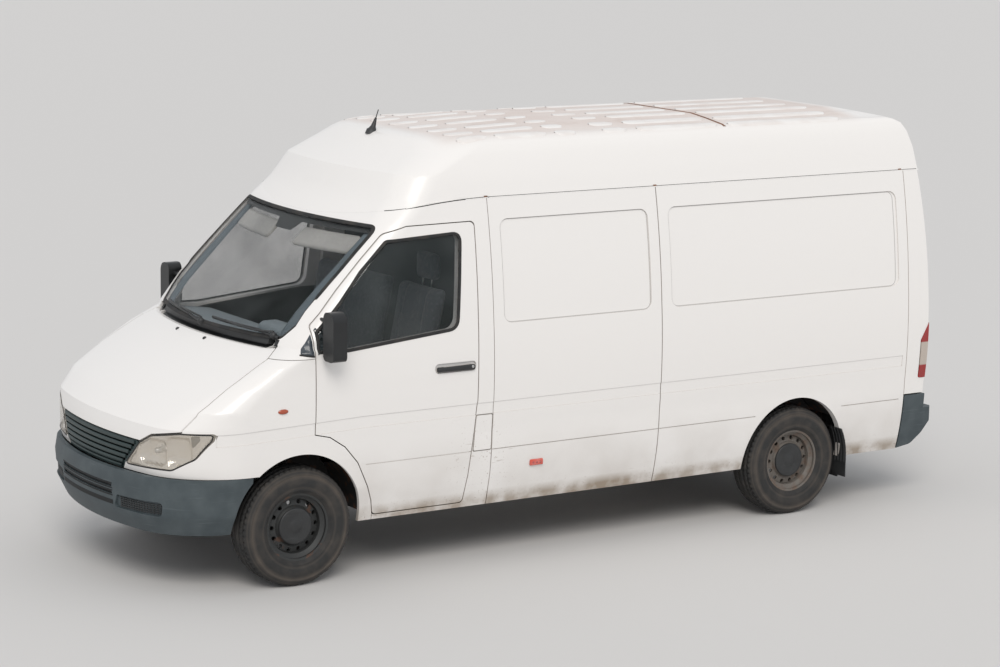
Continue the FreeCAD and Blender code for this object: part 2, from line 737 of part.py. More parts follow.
def make_screen():
    pane = shell(v.glass_set, v.glass_set + v.glass * 1.4, 1370, 2145)
    add("windscreen", pane.common(front_prism(grown(SCREEN, -v.seat_gap), -576)))
    lip = shell(18, 72, 1280, 1560).common(box(-80, 400, -753, 753, 1366, 1401))
    back = shell(60, 72, 1280, 1560).common(box(-80, 400, -745, 745, 1280, 1367))
    tray = body_stack(60, 1280, 1370).common(box(-40, 400, -745, 745, 1280, 1290))
    slot = 50
    pins = [rod((v.bonnet_hinge_at, side * v.bonnet_hinge_half - slot / 2 - 8, v.bonnet_hinge_height),
                (v.bonnet_hinge_at, side * v.bonnet_hinge_half + slot / 2 + 8, v.bonnet_hinge_height),
                v.bonnet_pin_radius) for side in (LEFT, RIGHT)]
    add("cowl", fused(fused(lip, back, tray).cut(hinge_room(slot)), *pins))


def make_roof():
    roof = roof_stack(0, 0).cut(roof_stack(v.roof_wall, 25))
    roof = roof.common(above_roof_line.translated(Vector(0, 0, v.seat_gap)))
    roof = roof.cut(prism(counter_clockwise(rear_opening(3)), "X", v.tail_at - 100, v.pillar_d_at))
    # Thin gutter lip along the roof's lower edge, from over the door to just past the rear corner.
    rise = Vector(0, 0, v.gutter_size)
    strip = above_roof_line.translated(Vector(0, 0, v.seat_gap)).cut(above_roof_line.translated(rise))
    lip = roof_stack(-v.gutter_size, 0).cut(roof_stack(v.gutter_size, 0)).common(strip)
    lip = lip.common(box(v.tail_top_at - 15, -620, v.gutter_half - 20, BIG, 2000, 2200))
    add("roof", fused(roof, lip, mirrored(lip)))


def recess(x_rear, x_front):
    pocket = wall_slab(x_rear - 100, x_front + 100, -10, v.recess_depth)
    corners = ((x_rear, v.recess_low, v.recess_round), (x_front, v.recess_low, v.recess_round),
               (x_front, v.recess_high, v.recess_round), (x_rear, v.recess_high, v.recess_round))
    return pocket.common(side_prism(corners))


def band(x_rear, x_front):
    strip = wall_slab(x_rear - 1, x_front + 1, -10, v.crease_depth)
    return strip.common(box(x_rear - 1, x_front + 1, 0, BIG, v.band_low, v.band_high))


def make_sides():
    seam = v.shut_gap / 2
    front = wall_slab(v.pillar_c_at + seam, v.pillar_b_at - 4, 0, v.wall)
    front = front.cut(recess(v.pillar_c_at + v.recess_inset, v.pillar_b_at - v.recess_inset))
    front = front.cut(band(v.pillar_c_at, v.pillar_b_at)).cut(lower_creases())
    rear = wall_slab(v.pillar_d_at, v.pillar_c_at - seam, 0, v.wall)
    rear = rear.cut(recess(v.pillar_d_at + v.recess_inset, v.pillar_c_at - v.recess_inset))
    band_end = v.pillar_d_at + 32
    rear = rear.cut(band(band_end, v.pillar_c_at)).cut(arch_rear).cut(lower_creases())
    add("side_panel_left_front", front)
    # The sliding door's handle recess, and its rail along the right rear panel.
    pull = rounded_box(v.pillar_b_at - 260, v.pillar_b_at - 110, half_width(1186) - 14, BIG, 1150, 1222, 30, "Y")
    add("sliding_door", mirrored(front.cut(pull)))
    rail = wall_slab(v.pillar_c_at - 1330, v.pillar_c_at - 60, -1, 16).common(
        box(v.pillar_d_at, 0, 0, BIG, 1018, 1052))
    add("side_panel_rear_left", rear)
    add("side_panel_rear_right", mirrored(rear.cut(rail)))


# Rear face of the body in side view, low to high: x, z.
TAIL_ARC = ((v.tail_at + 30, 430), (v.tail_at, 1040), (v.tail_top_at + 22, 2330))


def tail_slab(outer, inner, low, high):
    """Full-width slice parallel to the bowed rear face, between two insets."""
    def arc(inset):
        ux, uz, radius = circle_through(*TAIL_ARC)
        def at_height(z):
            return ux - math.sqrt(radius ** 2 - (z - uz) ** 2) + inset
        middle = (low + high) / 2
        return [Vector(at_height(z), -BIG, z) for z in (low, middle, high)]
    back, front = arc(outer), arc(inner)
    wire = Part.Wire([Part.Arc(*back).toShape(), Part.makeLine(back[2], front[2]),
                      Part.Arc(*reversed(front)).toShape(), Part.makeLine(front[0], back[0])])
    return Part.Face(wire).extrude(Vector(0, 2 * BIG, 0))


def flanks(inset, x_rear, x_front):
    """Full-width slice of the body between the flanks, set in by a distance."""
    left = wall_slab(x_rear, x_front, inset, 2 * v.waist_half)
    return left.common(mirrored(left))


# Rear bumper in side view and tail lamp in side view: x, z, radius.
BUMPER_SIDE = (
    (v.pillar_d_at - 10, v.sill_height + 2, 0),
    (v.pillar_d_at - 120, 350, 60),
    (-4615, 420, 60),
    (-4680, 520, 40),
    (-v.wheelbase - v.rear_overhang, v.bumper_step, 8),
    (v.tail_at, v.bumper_step, 0),
    (v.tail_at, v.bumper_top, 4),
    (v.pillar_d_at - 10, v.bumper_top, 0),
)
LAMP_SIDE = (
    (v.tail_at - 40, 800, 0),
    (v.tail_at + 70, 800, 14),
    (v.tail_at + 65, 1050, 20),
    (v.tail_at - 2, 1168, 0),
    (v.tail_at - 40, 1168, 0),
)


def make_rear():
    low = 430
    behind = v.tail_at - 50
    post_half = 850
    skin = wall_slab(behind, v.pillar_d_at, 0, v.wall).cut(box(-BIG * 2, BIG, 0, BIG, 0, v.rear_corner_low))
    seam = wall_slab(v.pillar_d_at - v.crease_size, v.pillar_d_at + 1, -v.crease_size, v.crease_size)
    post = box(behind, v.pillar_d_at - 1, v.rear_door_half + 3, BIG, low, v.gutter_height)
    post = post.cut(box(-BIG * 2, BIG, post_half, BIG, 0, v.rear_corner_low))
    post = post.cut(box(-BIG * 2, v.tail_at + v.bumper_wall + v.seat_gap, 0, BIG,
                        v.bumper_step - 2 * v.bumper_wall, v.rear_corner_low))
    post = post.common(wall_slab(behind, v.pillar_d_at, 1, 2000)).common(tail_slab(8, 120, low, v.gutter_height))
    lamp = prism(counter_clockwise(LAMP_SIDE), "Y", 830, BIG)
    lamp_room = prism(grown(counter_clockwise(LAMP_SIDE), v.seat_gap), "Y", 830 - v.seat_gap, BIG)
    left = skin.cut(seam).fuse(post).cut(lamp_room)
    sill = box(v.tail_at + 60, v.pillar_d_at, -post_half, post_half, low, v.rear_door_low - 6)
    header = roof_stack(v.roof_wall + v.seat_gap, 25 + v.seat_gap).common(
        box(v.tail_at, v.pillar_d_at, -BIG, BIG, v.gutter_height, BIG))
    opening = prism(counter_clockwise(rear_opening(3)), "X", v.tail_at - 100, v.pillar_d_at + 100)
    whole = fused(left, mirrored(left), sill, header)
    whole = whole.common(tail_slab(8, 400, low, 2520))
    whole = whole.cut(opening.common(tail_slab(-50, v.rear_door_wall + v.seat_gap, low, 2520)))
    inner_opening = prism(counter_clockwise(rear_opening(-30)), "X", v.tail_at - 100, v.pillar_d_at + 100)
    add("rear_frame", whole.cut(inner_opening))
    leaf = prism(counter_clockwise(rear_opening(-3)), "X", behind, v.pillar_d_at)
    leaf = leaf.common(tail_slab(0, v.rear_door_wall, low, 2520))
    leaf = leaf.cut(box(-BIG * 2, BIG, -BIG, 3, 0, BIG))
    # Blank window panel and lower panel pressed into each leaf.
    press = tail_slab(-20, v.recess_depth, low, 2520)
    for bottom, top in ((v.recess_low, v.recess_high), (760, 1280)):
        corners = ((75, bottom, v.recess_round), (700, bottom, v.recess_round),
                   (700, top, v.recess_round), (75, top, v.recess_round))
        leaf = leaf.cut(press.common(prism(corners, "X", v.tail_at - 50, v.pillar_d_at)))
    add_pair("rear_door", leaf)
    make_rear_bumper(low)
    lamp = lamp.common(wall_slab(behind, v.pillar_d_at, -3, 2000)).common(tail_slab(4, 60, low, 2520))
    lamp = lamp.cut(box(-BIG * 2, BIG, 0, 830, 0, BIG))
    add("tail_lamps", Part.makeCompound([lamp, mirrored(lamp)]))


def make_rear_bumper(low):
    """Step and corner mouldings in one, on two arms from the rear sill."""
    rear = -v.wheelbase - v.rear_overhang
    front = v.pillar_d_at - 10
    wall = v.bumper_wall
    rounding = 90
    side = prism(counter_clockwise(BUMPER_SIDE), "Y", -1000, 1000)
    plan = ((rear, -950, rounding), (front, -950, 0), (front, 950, 0), (rear, 950, rounding))
    mould = side.common(prism(plan, "Z", 300, 800)).common(flanks(0, rear - 5, front + 5))
    hollow = side.translated(Vector(wall, 0, wall)).fuse(side.translated(Vector(4 * wall, 0, wall)))
    hollow = hollow.common(flanks(wall, rear - 5, front + 5 * wall))
    between = box(-BIG * 2, BIG, -v.rear_door_half - 6, v.rear_door_half + 6, v.bumper_step, BIG)
    step_low = v.bumper_step - wall / 2
    hollow = hollow.cut(box(-BIG * 2, v.tail_at + wall, -BIG, BIG, step_low, BIG))
    hollow = hollow.cut(between)
    mould = mould.cut(between).cut(hollow)
    arm = box(v.tail_at - 50, v.tail_at + 60 - v.seat_gap, 380, 440, low + 40, low + 100)
    add("rear_bumper", fused(mould, arm, mirrored(arm)))


def rear_opening(distance):
    half = v.rear_door_half + distance
    low = v.rear_door_low - distance
    high = v.rear_door_high + distance
    rounding = v.rear_door_round + distance
    return ((-half, low, 0), (half, low, 0), (half, high, rounding), (-half, high, rounding))


def make_chassis():
    rails = []
    half = v.rail_width / 2
    for side in (LEFT, RIGHT):
        centre = side * v.rail_offset
        rails.append(box(v.rail_rear_at, v.rail_front_at, centre - half, centre + half,
                         v.rail_low, v.rail_high))
    reach = v.rail_offset
    spare_top = v.spare_height + v.disc_offset + v.hub_rise + v.seat_gap
    rails.append(rod((v.spare_at, 0, spare_top), (v.spare_at, 0, v.rail_high - 10), 16))
    for station in (640, -900, -2200, -3000, -4050, -4384):
        rails.append(box(station - 35, station + 35, -reach, reach,
                         v.rail_low + v.cross_rise, v.rail_high))
    ladder = fused(*rails)
    for station in (-1, 1):
        for rise in (-1, 1):
            ladder = ladder.cut(Part.makeCylinder(
                v.tow_bolt_radius, 2 * BIG,
                Vector(v.tow_bar_at + station * v.tow_spacing_along / 2, -BIG,
                       (v.rail_low + v.rail_high) / 2 + rise * v.tow_spacing_up / 2), Vector(0, 1, 0)))
    eye = Part.makeCylinder(v.tow_eye_radius, v.tow_eye_depth,
                            Vector(v.rail_front_at - v.tow_eye_depth, -v.rail_offset, v.tow_eye_height),
                            Vector(1, 0, 0))
    add("chassis_rails", ladder.cut(eye))
    bulkhead_back = v.pillar_b_at - 20
    floor = box(v.pillar_d_at + 1, bulkhead_back - 1, -v.floor_half, v.floor_half, v.rail_high, v.floor_height)
    for side in (LEFT, RIGHT):
        floor = floor.cut(box(-v.wheelbase - v.liner_rear_radius, -v.wheelbase + v.liner_rear_radius,
                              min(side * v.liner_rear_inner, side * BIG),
                              max(side * v.liner_rear_inner, side * BIG), 0, BIG))
    add("load_floor", floor)
    half = half_width(v.rail_high) - v.door_wall - v.rebate - 3
    cab = box(v.pillar_b_at + 1, -500, -half, half, v.rail_high, v.floor_height)
    tunnel = box(-500, -10, -v.liner_inner + 2, v.liner_inner - 2, v.rail_high, v.floor_height)
    firewall = box(-40, -10, -v.liner_inner + 2, v.liner_inner - 2, v.floor_height, 1280 - v.seat_gap)
    add("cab_floor", fused(cab, tunnel, firewall))
    bulkhead = box(bulkhead_back, v.pillar_b_at - 1, -870, 870, v.rail_high + v.seat_gap, 2140)
    bulkhead = bulkhead.common(
        fused(wall_slab(-2000, -1000, v.wall + 0.5, 1000), mirrored(wall_slab(-2000, -1000, v.wall + 0.5, 1000))))
    add("bulkhead", bulkhead)


def make_driveline():
    engine = document.addObject("Part::Box", "engine_block")
    engine.Label = "engine_block"
    engine.setExpression("Length", "Dimensions.engine_length")
    engine.setExpression("Width", "Dimensions.engine_width")
    engine.setExpression("Height", "Dimensions.engine_height")
    engine.Placement = FreeCAD.Placement(
        Vector(front_axle + v.engine_front_at - v.engine_length, -v.engine_width / 2, v.engine_low),
        FreeCAD.Rotation())
    subparts.append(engine)
    back = v.engine_front_at - v.engine_length
    gearbox_height = 470
    gearbox_length = 640
    box_shape = Part.makeCone(125, 75, gearbox_length, Vector(back - v.seat_gap, 0, gearbox_height),
                              Vector(-1, 0, 0))
    shaft_start = back - gearbox_length - 4
    shaft = rod((shaft_start, 0, gearbox_height), (-v.wheelbase + v.diff_radius, 0, v.tyre_radius + 20), 38)
    add("gearbox", box_shape)
    add("propshaft", shaft)
    tube_end = v.track / 2 - 120
    axle = fused(
        rod((-v.wheelbase, -tube_end, v.tyre_radius), (-v.wheelbase, tube_end, v.tyre_radius),
            v.axle_tube_radius),
        Part.makeSphere(v.diff_radius, Vector(-v.wheelbase, 0, v.tyre_radius)),
        rod((-v.wheelbase, -v.track / 2, v.tyre_radius), (-v.wheelbase, v.track / 2, v.tyre_radius),
            v.spindle_radius))
    add("rear_axle", axle)
    springs = []
    for side in (LEFT, RIGHT):
        y = side * 520
        pack = []
        for leaf, reach in enumerate((650, 480, 300)):
            z = v.tyre_radius + v.axle_tube_radius + 14 * (3 - leaf) - 14
            ends = z + (35 if leaf == 0 else 14)
            pack.append(prism(((-v.wheelbase - reach, ends, 0), (-v.wheelbase, z, 0),
                               (-v.wheelbase + reach, ends, 0), (-v.wheelbase + reach, ends + 12, 0),
                               (-v.wheelbase, z + 14, 0), (-v.wheelbase - reach, ends + 12, 0)),
                              "Y", y - 35, y + 35))
        for end in (LEFT, RIGHT):
            eye_at = -v.wheelbase + end * 640
            hanger = side * (v.rail_offset + v.rail_width / 2 + v.seat_gap)
            pack.append(box(eye_at - 20, eye_at + 20, min(hanger, y), max(hanger, y),
                            v.tyre_radius + 100, v.rail_high - 40))
        springs.append(fused(*pack))
    add("leaf_springs", Part.makeCompound(springs))


def make_wheels():
    plane = v.track / 2
    wheels = (("front_left", 0, LEFT), ("front_right", 0, RIGHT),
              ("rear_left", -v.wheelbase, LEFT), ("rear_right", -v.wheelbase, RIGHT))
    for name, axle_at, side in wheels:
        tyre = tyre_shape()
        rim = rim_shape()
        for label, shape in ((f"tyre_{name}", tyre), (f"rim_{name}", rim)):
            turned = shape if side == LEFT else mirrored(shape)
            add(label, turned.translated(Vector(axle_at, side * plane, v.tyre_radius)))


def revolved(profile):
    """Solid of revolution about Y from (radius, offset) corners."""
    points = [Vector(radius, offset, 0) for radius, offset in profile]
    points.append(points[0])
    face = Part.Face(Part.makePolygon(points))
    return face.revolve(Vector(0, 0, 0), Vector(0, 1, 0), 360)


def tyre_shape():
    half = v.tyre_width / 2
    outer = v.tyre_radius
    side = ((v.bead_radius + 1, v.rim_half - 22), (v.flange_radius + 3, v.rim_half - 14),
            (v.flange_radius + 26, half - 6), (outer - 75, half), (outer - 32, half - 7),
            (outer - 8, half - 24), (outer, half - 42))
    profile = list(side) + [(radius, -offset) for radius, offset in reversed(side)]
    return revolved(profile)


def rim_shape():
    half = v.rim_half
    wall = v.rim_wall
    disc = v.disc_offset
    bore = v.spindle_radius + v.bearing_gap
    profile = (
        (bore, disc - 60), (v.hub_radius, disc - 60), (v.hub_radius, disc - wall),
        (v.vent_circle - 20, disc - wall - 4), (v.vent_circle + 12, disc - wall - 14),
        (v.drop_radius - wall, disc - 30), (v.drop_radius - wall, -half + 30),
        (v.bead_radius - wall, -half + 22), (v.bead_radius - wall, -half + 6), (v.flange_radius, -half),
        (v.flange_radius, -half + 6), (v.bead_radius, -half + 12), (v.bead_radius, -half + 24),
        (v.drop_radius, -half + 40), (v.drop_radius, half - 40), (v.bead_radius, half - 24),
        (v.bead_radius, half - 12), (v.flange_radius, half - 6), (v.flange_radius, half),
        (v.bead_radius - wall, half - 6), (v.bead_radius - wall, half - 22),
        (v.drop_radius - wall, half - 36), (v.drop_radius - wall - 4, disc - 18),
        (v.vent_circle + 14, disc - 6), (v.vent_circle - 20, disc + 2), (v.hub_radius + 10, disc),
        (v.hub_radius, disc + v.hub_rise - 6), (v.hub_radius - 8, disc + v.hub_rise),
        (0, disc + v.hub_rise), (0, disc - wall), (bore, disc - wall),
    )
    rim = revolved(profile)
    holes = []
    count = int(v.vent_count)
    for index in range(count):
        angle = 2 * math.pi * index / count
        place = Vector(v.vent_circle * math.cos(angle), -10, v.vent_circle * math.sin(angle))
        holes.append(Part.makeCylinder(v.vent_radius, 80, place, Vector(0, 1, 0)))
    return rim.cut(holes)


def make_front_axle():
    axis = v.steer_axis
    hub = v.tyre_radius
    upright = fused(
        rounded_box(-45, 45, axis - 30, axis + 30, hub - 110, hub + 110, 15, "Y"),
        rod((0, axis, hub), (0, v.track / 2 + v.disc_offset - v.rim_wall - 6, hub), v.spindle_radius),
        rod((0, axis, hub + 100), (0, axis, 985), v.strut_radius),
        Part.makeCylinder(75, 12, Vector(0, axis, 760)),
        rod((0, axis, hub - 115 + v.seat_gap), (0, axis, hub - 100), 14))
    add_pair("knuckle", upright)
    beam = box(12, 132, -v.rail_offset - 34, v.rail_offset + 34, v.rail_low - 70, v.rail_low)
    arms = []
    for side in (LEFT, RIGHT):
        inner = side * (v.rail_offset - 60)
        outer = side * (axis - 0)
        arms.append(prism(((-150, inner, 0), (150, inner, 0), (35, outer, 0), (-35, outer, 0)), "Z",
                          hub - 150, hub - 115))
        arms.append(box(20, 100, min(inner, side * (v.rail_offset - 130)),
                        max(inner, side * (v.rail_offset - 130)), hub - 150, v.rail_low - 60))
    rack = rod((210, -390, hub + 80), (210, 390, hub + 80), 28)
    link = box(100, 230, -60, 60, hub + 60, v.rail_low - 10)
    add("front_subframe", fused(beam, *arms, rack, link))


def make_wheelhouses():
    pieces = []
    hub = v.tyre_radius
    front_outer = Part.makeCylinder(v.liner_radius, v.liner_outer - v.liner_inner,
                                    Vector(0, v.liner_inner, hub), Vector(0, 1, 0))
    front_inner = Part.makeCylinder(v.liner_radius - v.liner_wall, BIG,
                                    Vector(0, v.liner_inner + v.liner_wall, hub), Vector(0, 1, 0))
    front = front_outer.cut(front_inner).cut(box(-BIG, BIG, 0, BIG, -BIG, hub + 10))
    front = front.cut(bumper_stack(0).cut(bumper_stack(31)))
    wing_strip = Part.makeCylinder(v.liner_radius, 150, Vector(0, v.liner_outer - 1, hub), Vector(0, 1, 0))
    wing_strip = wing_strip.cut(front_inner).common(box(-60, 340, 0, BIG, 690, 900))
    wing_strip = wing_strip.common(body_stack(v.skin + v.seat_gap, 330, 1405))
    front = front.fuse(wing_strip)
    front = front.cut(rod((0, v.steer_axis, 0), (0, v.steer_axis, 2000), v.strut_radius + 8))
    tower_low = hub + v.liner_radius - 12
    tower = Part.makeCylinder(70, 1000 - tower_low, Vector(0, v.steer_axis, tower_low))
    tower = tower.cut(rod((0, v.steer_axis, 0), (0, v.steer_axis, 985 + v.seat_gap), v.strut_radius + 8))
    front = fused(front, tower)
    front = front.cut(box(-200, 200, 0, v.rail_offset + v.rail_width, 0, v.rail_low + 10))
    rear_outer = Part.makeCylinder(v.liner_rear_radius, v.liner_outer + 60 - v.liner_rear_inner,
                                   Vector(-v.wheelbase, v.liner_rear_inner, hub + 10), Vector(0, 1, 0))
    rear_inner = Part.makeCylinder(v.liner_rear_radius - v.liner_wall, BIG,
                                   Vector(-v.wheelbase, v.liner_rear_inner + v.liner_wall, hub + 10),
                                   Vector(0, 1, 0))
    rear = rear_outer.cut(rear_inner).cut(box(-5000, 0, 0, BIG, -BIG, v.rail_high))
    for shape in (front, rear):
        pieces += [shape, mirrored(shape)]
    add("wheelhouses", Part.makeCompound(pieces))


def make_interior():
    dash = prism(((-20, 1285, 0), (-300, 1265, 60), (-330, 1160, 40), (-230, 1020, 40), (-34, 940, 0),
                  (-34, 1285, 0)), "Y", -800, 800)
    dash = dash.common(box(-1000, -40 - v.seat_gap, -800, 800, 900, 1279))
    for side in (LEFT, RIGHT):
        dash = dash.cut(box(-110, 0, min(side * 430, side * 900), max(side * 430, side * 900), 900, 1020))
    centre = Vector(-430, 430, 1290)
    tilt = Vector(-math.cos(math.radians(58)), 0, math.sin(math.radians(58)))
    column = rod(tuple(centre - tilt * (45 + v.seat_gap)), tuple(centre - tilt * 280), 22)
    add("dashboard", fused(dash, column))
    seat = fused(
        rounded_box(-1000, -560, 200, 700, v.floor_height + 0.3, 930, 20, "Z"),
        rounded_box(-1060, -530, 190, 710, 930, 1050, 50, "Y"),
        prism(((-1020, 1000, 20), (-930, 1000, 20), (-1050, 1630, 40), (-1160, 1630, 40)), "Y", 200, 700),
        prism(((-1130, 1600, 10), (-1080, 1600, 10), (-1100, 1800, 30), (-1175, 1800, 30)), "Y", 330, 570))
    add("driver_seat", seat)
    bench = fused(
        rounded_box(-1000, -560, -800, 100, v.floor_height + 0.3, 930, 20, "Z"),
        rounded_box(-1060, -530, -810, 110, 930, 1050, 50, "Y"),
        prism(((-1020, 1000, 20), (-930, 1000, 20), (-1050, 1630, 40), (-1160, 1630, 40)), "Y", -800, 100))
    add("passenger_bench", bench)
    ring = Part.makeTorus(195, 15, centre, tilt)
    hub = Part.makeCylinder(60, 40, centre - tilt * 45, tilt)
    spokes = [rod(tuple(centre - tilt * 25), tuple(centre + direction * 190), 11)
              for direction in (Vector(0, 1, 0), Vector(0, -1, 0), tilt.cross(Vector(0, 1, 0)))]
    add("steering_wheel", fused(ring, hub, *spokes))


def make_outfit():
    head = ((985, 1310, 30), (1102, 1310, 30), (1102, 1588, 55), (985, 1588, 40))
    mirror = prism(head, "X", -202, -113).common(
        rounded_box(-202, -113, 900, 1200, 1310, 1588, 28, "Z"))
    stalk = rod((-150, 930, 1333), (-150, 1040, 1333), 13)
    stalk_top = rod((-150, 860, 1528), (-150, 1040, 1528), 11)
    mirror = fused(mirror, stalk, stalk_top).cut(body_stack(-v.seat_gap, 1280, 1870))
    add_pair("mirror", mirror)
    base = Vector(-957, 0, 2390)
    aerial = fused(Part.makeCone(26, 8, 50, base),
                   Part.makeCylinder(3, v.aerial_height, base, Vector(-0.35, 0, 1)))
    add("aerial", aerial.cut(roof_stack(-v.seat_gap, 0)))
    flap = wall_slab(v.pillar_b_at, -1100, 0, 14).common(flap_prism(-door_gap))
    add("fuel_flap", flap)
    flaps = []
    for side in (LEFT, RIGHT):
        edge = side * 700
        outer = side * 834
        flap_at = -v.wheelbase - v.liner_rear_radius - 15
        flaps.append(box(flap_at, flap_at + 8, min(edge, outer), max(edge, outer),
                         180, v.rail_high - v.seat_gap))
    add("mud_flaps", Part.makeCompound(flaps))
    add("fuel_tank", rounded_box(-2050, -1350, v.rail_offset + v.rail_width / 2 + v.seat_gap, 800, 330,
                                 v.rail_high - 10, 40, "X"))
    pipe = fused(rod((-200, -300, 430), (-2600, -300, 430), 28), rod((-2600, -300, 430), (-2600, -700, 430), 28),
                 rounded_box(-1900, -1250, -375, -225, 370, 465, 40, "X"),
                 rod((-2200, -300, 430), (-2200, -300, v.rail_low + v.cross_rise - v.seat_gap), 8))
    add("exhaust", pipe)
    spare = fused(tyre_shape(), rim_shape())
    spare.rotate(Vector(0, 0, 0), Vector(1, 0, 0), 90)
    add("spare_wheel", spare.translated(Vector(v.spare_at, 0, v.spare_height)))


make_cab_doors()
make_cab_frame()
make_wings()
make_bonnet()
make_front()
make_screen()
make_roof()
make_sides()
make_rear()
make_chassis()
make_driveline()
make_wheels()
make_front_axle()
make_wheelhouses()
make_interior()
make_outfit()

document.recompute()
for item in document.Objects:
    if {"Invalid", "Error"} & set(item.State):
        raise RuntimeError(f"{item.Label} did not build")
os.makedirs("parts", exist_ok=True)
for item in subparts:
    if item.Shape.isNull() or not item.Shape.isValid():
        raise RuntimeError(f"{item.Label} has no valid shape")
    item.Shape.exportStep(f"parts/{item.Label}.step")
    print(item.Label, len(item.Shape.Solids), round(item.Shape.Volume / 1e6, 2))
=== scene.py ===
"""Looks of a high-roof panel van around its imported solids: finishes, trim, lamps, tyres and cab.

Metres, x forward, y left, z up. Stations called "ahead" are measured from the front axle.
"""
import json
import math

import bmesh
import bpy
from mathutils import Matrix, Vector
from mathutils.bvhtree import BVHTree


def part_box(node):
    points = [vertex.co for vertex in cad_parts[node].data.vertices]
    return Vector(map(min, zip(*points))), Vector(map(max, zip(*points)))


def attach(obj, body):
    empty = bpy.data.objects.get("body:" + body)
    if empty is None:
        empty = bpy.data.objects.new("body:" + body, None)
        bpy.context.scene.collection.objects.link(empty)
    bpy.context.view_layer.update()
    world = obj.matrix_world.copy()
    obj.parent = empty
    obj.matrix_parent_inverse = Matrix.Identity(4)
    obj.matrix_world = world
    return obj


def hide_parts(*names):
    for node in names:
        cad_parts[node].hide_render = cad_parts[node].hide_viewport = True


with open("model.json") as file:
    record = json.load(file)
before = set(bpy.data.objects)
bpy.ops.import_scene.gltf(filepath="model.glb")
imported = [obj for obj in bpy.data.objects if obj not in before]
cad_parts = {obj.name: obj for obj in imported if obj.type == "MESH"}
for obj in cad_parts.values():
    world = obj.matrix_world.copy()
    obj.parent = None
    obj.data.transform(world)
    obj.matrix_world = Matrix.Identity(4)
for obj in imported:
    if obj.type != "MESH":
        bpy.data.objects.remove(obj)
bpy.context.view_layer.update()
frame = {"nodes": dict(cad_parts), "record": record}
nodes = frame["nodes"]

FRONT_AXLE = 1.890
REAR_AXLE = FRONT_AXLE - 3.55
WHEEL_RADIUS = 0.345
HALF_TRACK = 0.815
LEFT = 1
RIGHT = -1
SIDES = ((LEFT, "left"), (RIGHT, "right"))


# Shader helpers. Patterns follow each piece's own coordinates, so they stay on it when it moves.

def new_material(name, colour, roughness, inputs=None):
    material = bpy.data.materials.new(name)
    material.use_nodes = True
    shader = material.node_tree.nodes["Principled BSDF"]
    shader.inputs["Base Color"].default_value = (*colour, 1)
    shader.inputs["Roughness"].default_value = roughness
    for key, value in (inputs or {}).items():
        shader.inputs[key].default_value = value
    return material, material.node_tree, shader


def connect(value, socket):
    if isinstance(value, bpy.types.NodeSocket):
        socket.id_data.links.new(value, socket)
    elif isinstance(value, tuple):
        socket.default_value = (*value, 1) if len(value) == 3 and socket.type == "RGBA" else value
    else:
        socket.default_value = value


def pattern(tree, kind, scale, stretch=(1, 1, 1), detail=3.0):
    """A noise, voronoi or wave pattern in the piece's own coordinates."""
    where = tree.nodes.new("ShaderNodeTexCoord")
    mapping = tree.nodes.new("ShaderNodeMapping")
    mapping.inputs["Scale"].default_value = stretch
    connect(where.outputs["Object"], mapping.inputs["Vector"])
    node = tree.nodes.new(f"ShaderNodeTex{kind}")
    node.inputs["Scale"].default_value = scale
    if "Detail" in node.inputs:
        node.inputs["Detail"].default_value = detail
    connect(mapping.outputs["Vector"], node.inputs["Vector"])
    return node.outputs[0]


def axis_value(tree, axis):
    """X, Y or Z of the piece's own coordinates."""
    where = tree.nodes.new("ShaderNodeTexCoord")
    split = tree.nodes.new("ShaderNodeSeparateXYZ")
    connect(where.outputs["Object"], split.inputs["Vector"])
    return split.outputs[axis]


def remap(value, start, end, low=0.0, high=1.0):
    node = value.id_data.nodes.new("ShaderNodeMapRange")
    connect(value, node.inputs["Value"])
    for key, limit in (("From Min", start), ("From Max", end), ("To Min", low), ("To Max", high)):
        node.inputs[key].default_value = limit
    return node.outputs["Result"]


def math_of(operation, first, second):
    node = first.id_data.nodes.new("ShaderNodeMath")
    node.operation = operation
    node.use_clamp = operation in ("ADD", "MULTIPLY")
    connect(first, node.inputs[0])
    connect(second, node.inputs[1])
    return node.outputs["Value"]


def blend_colours(factor, first, second):
    node = factor.id_data.nodes.new("ShaderNodeMix")
    node.data_type = "RGBA"
    connect(factor, node.inputs["Factor"])
    connect(first, node.inputs["A"])
    connect(second, node.inputs["B"])
    return node.outputs["Result"]


def colour_by(shader, factor, first, second):
    connect(blend_colours(factor, first, second), shader.inputs["Base Color"])


def rough_by(shader, value, end, low, high):
    connect(remap(value, 0.0, end, low, high), shader.inputs["Roughness"])


def bump(shader, height, distance, strength=1.0):
    node = shader.id_data.nodes.new("ShaderNodeBump")
    node.inputs["Strength"].default_value = strength
    node.inputs["Distance"].default_value = distance
    connect(height, node.inputs["Height"])
    connect(node.outputs["Normal"], shader.inputs["Normal"])


def noise(tree, scale, start, end, low=0.0, high=1.0, detail=6.0, stretch=(1, 1, 1)):
    """Soft patches: a noise of some scale with start..end spread over low..high."""
    return remap(pattern(tree, "Noise", scale, stretch, detail), start, end, low, high)


def grain(shader, scale, distance, strength, detail=2):
    bump(shader, pattern(shader.id_data, "Noise", scale, detail=detail), distance, strength)


def box_mask(tree, low, high, soft):
    """1 inside a box of the piece's own coordinates, falling to 0 over a soft edge."""
    mask = 1.0
    for axis in range(3):
        value = axis_value(tree, axis)
        rise = remap(value, low[axis] - soft, low[axis] + soft)
        fall = remap(value, high[axis] + soft, high[axis] - soft)
        mask = math_of("MULTIPLY", math_of("MULTIPLY", rise, fall), mask)
    return mask


WHITE = (0.83, 0.81, 0.79)
DIRT_AND_SHADE = (0.33, 0.27, 0.21)
RUST = (0.20, 0.075, 0.03)
SCUFF = (0.30, 0.23, 0.18)
ROOF_FILM = (0.66, 0.565, 0.52)
ROOF_STAIN = (0.50, 0.385, 0.33)

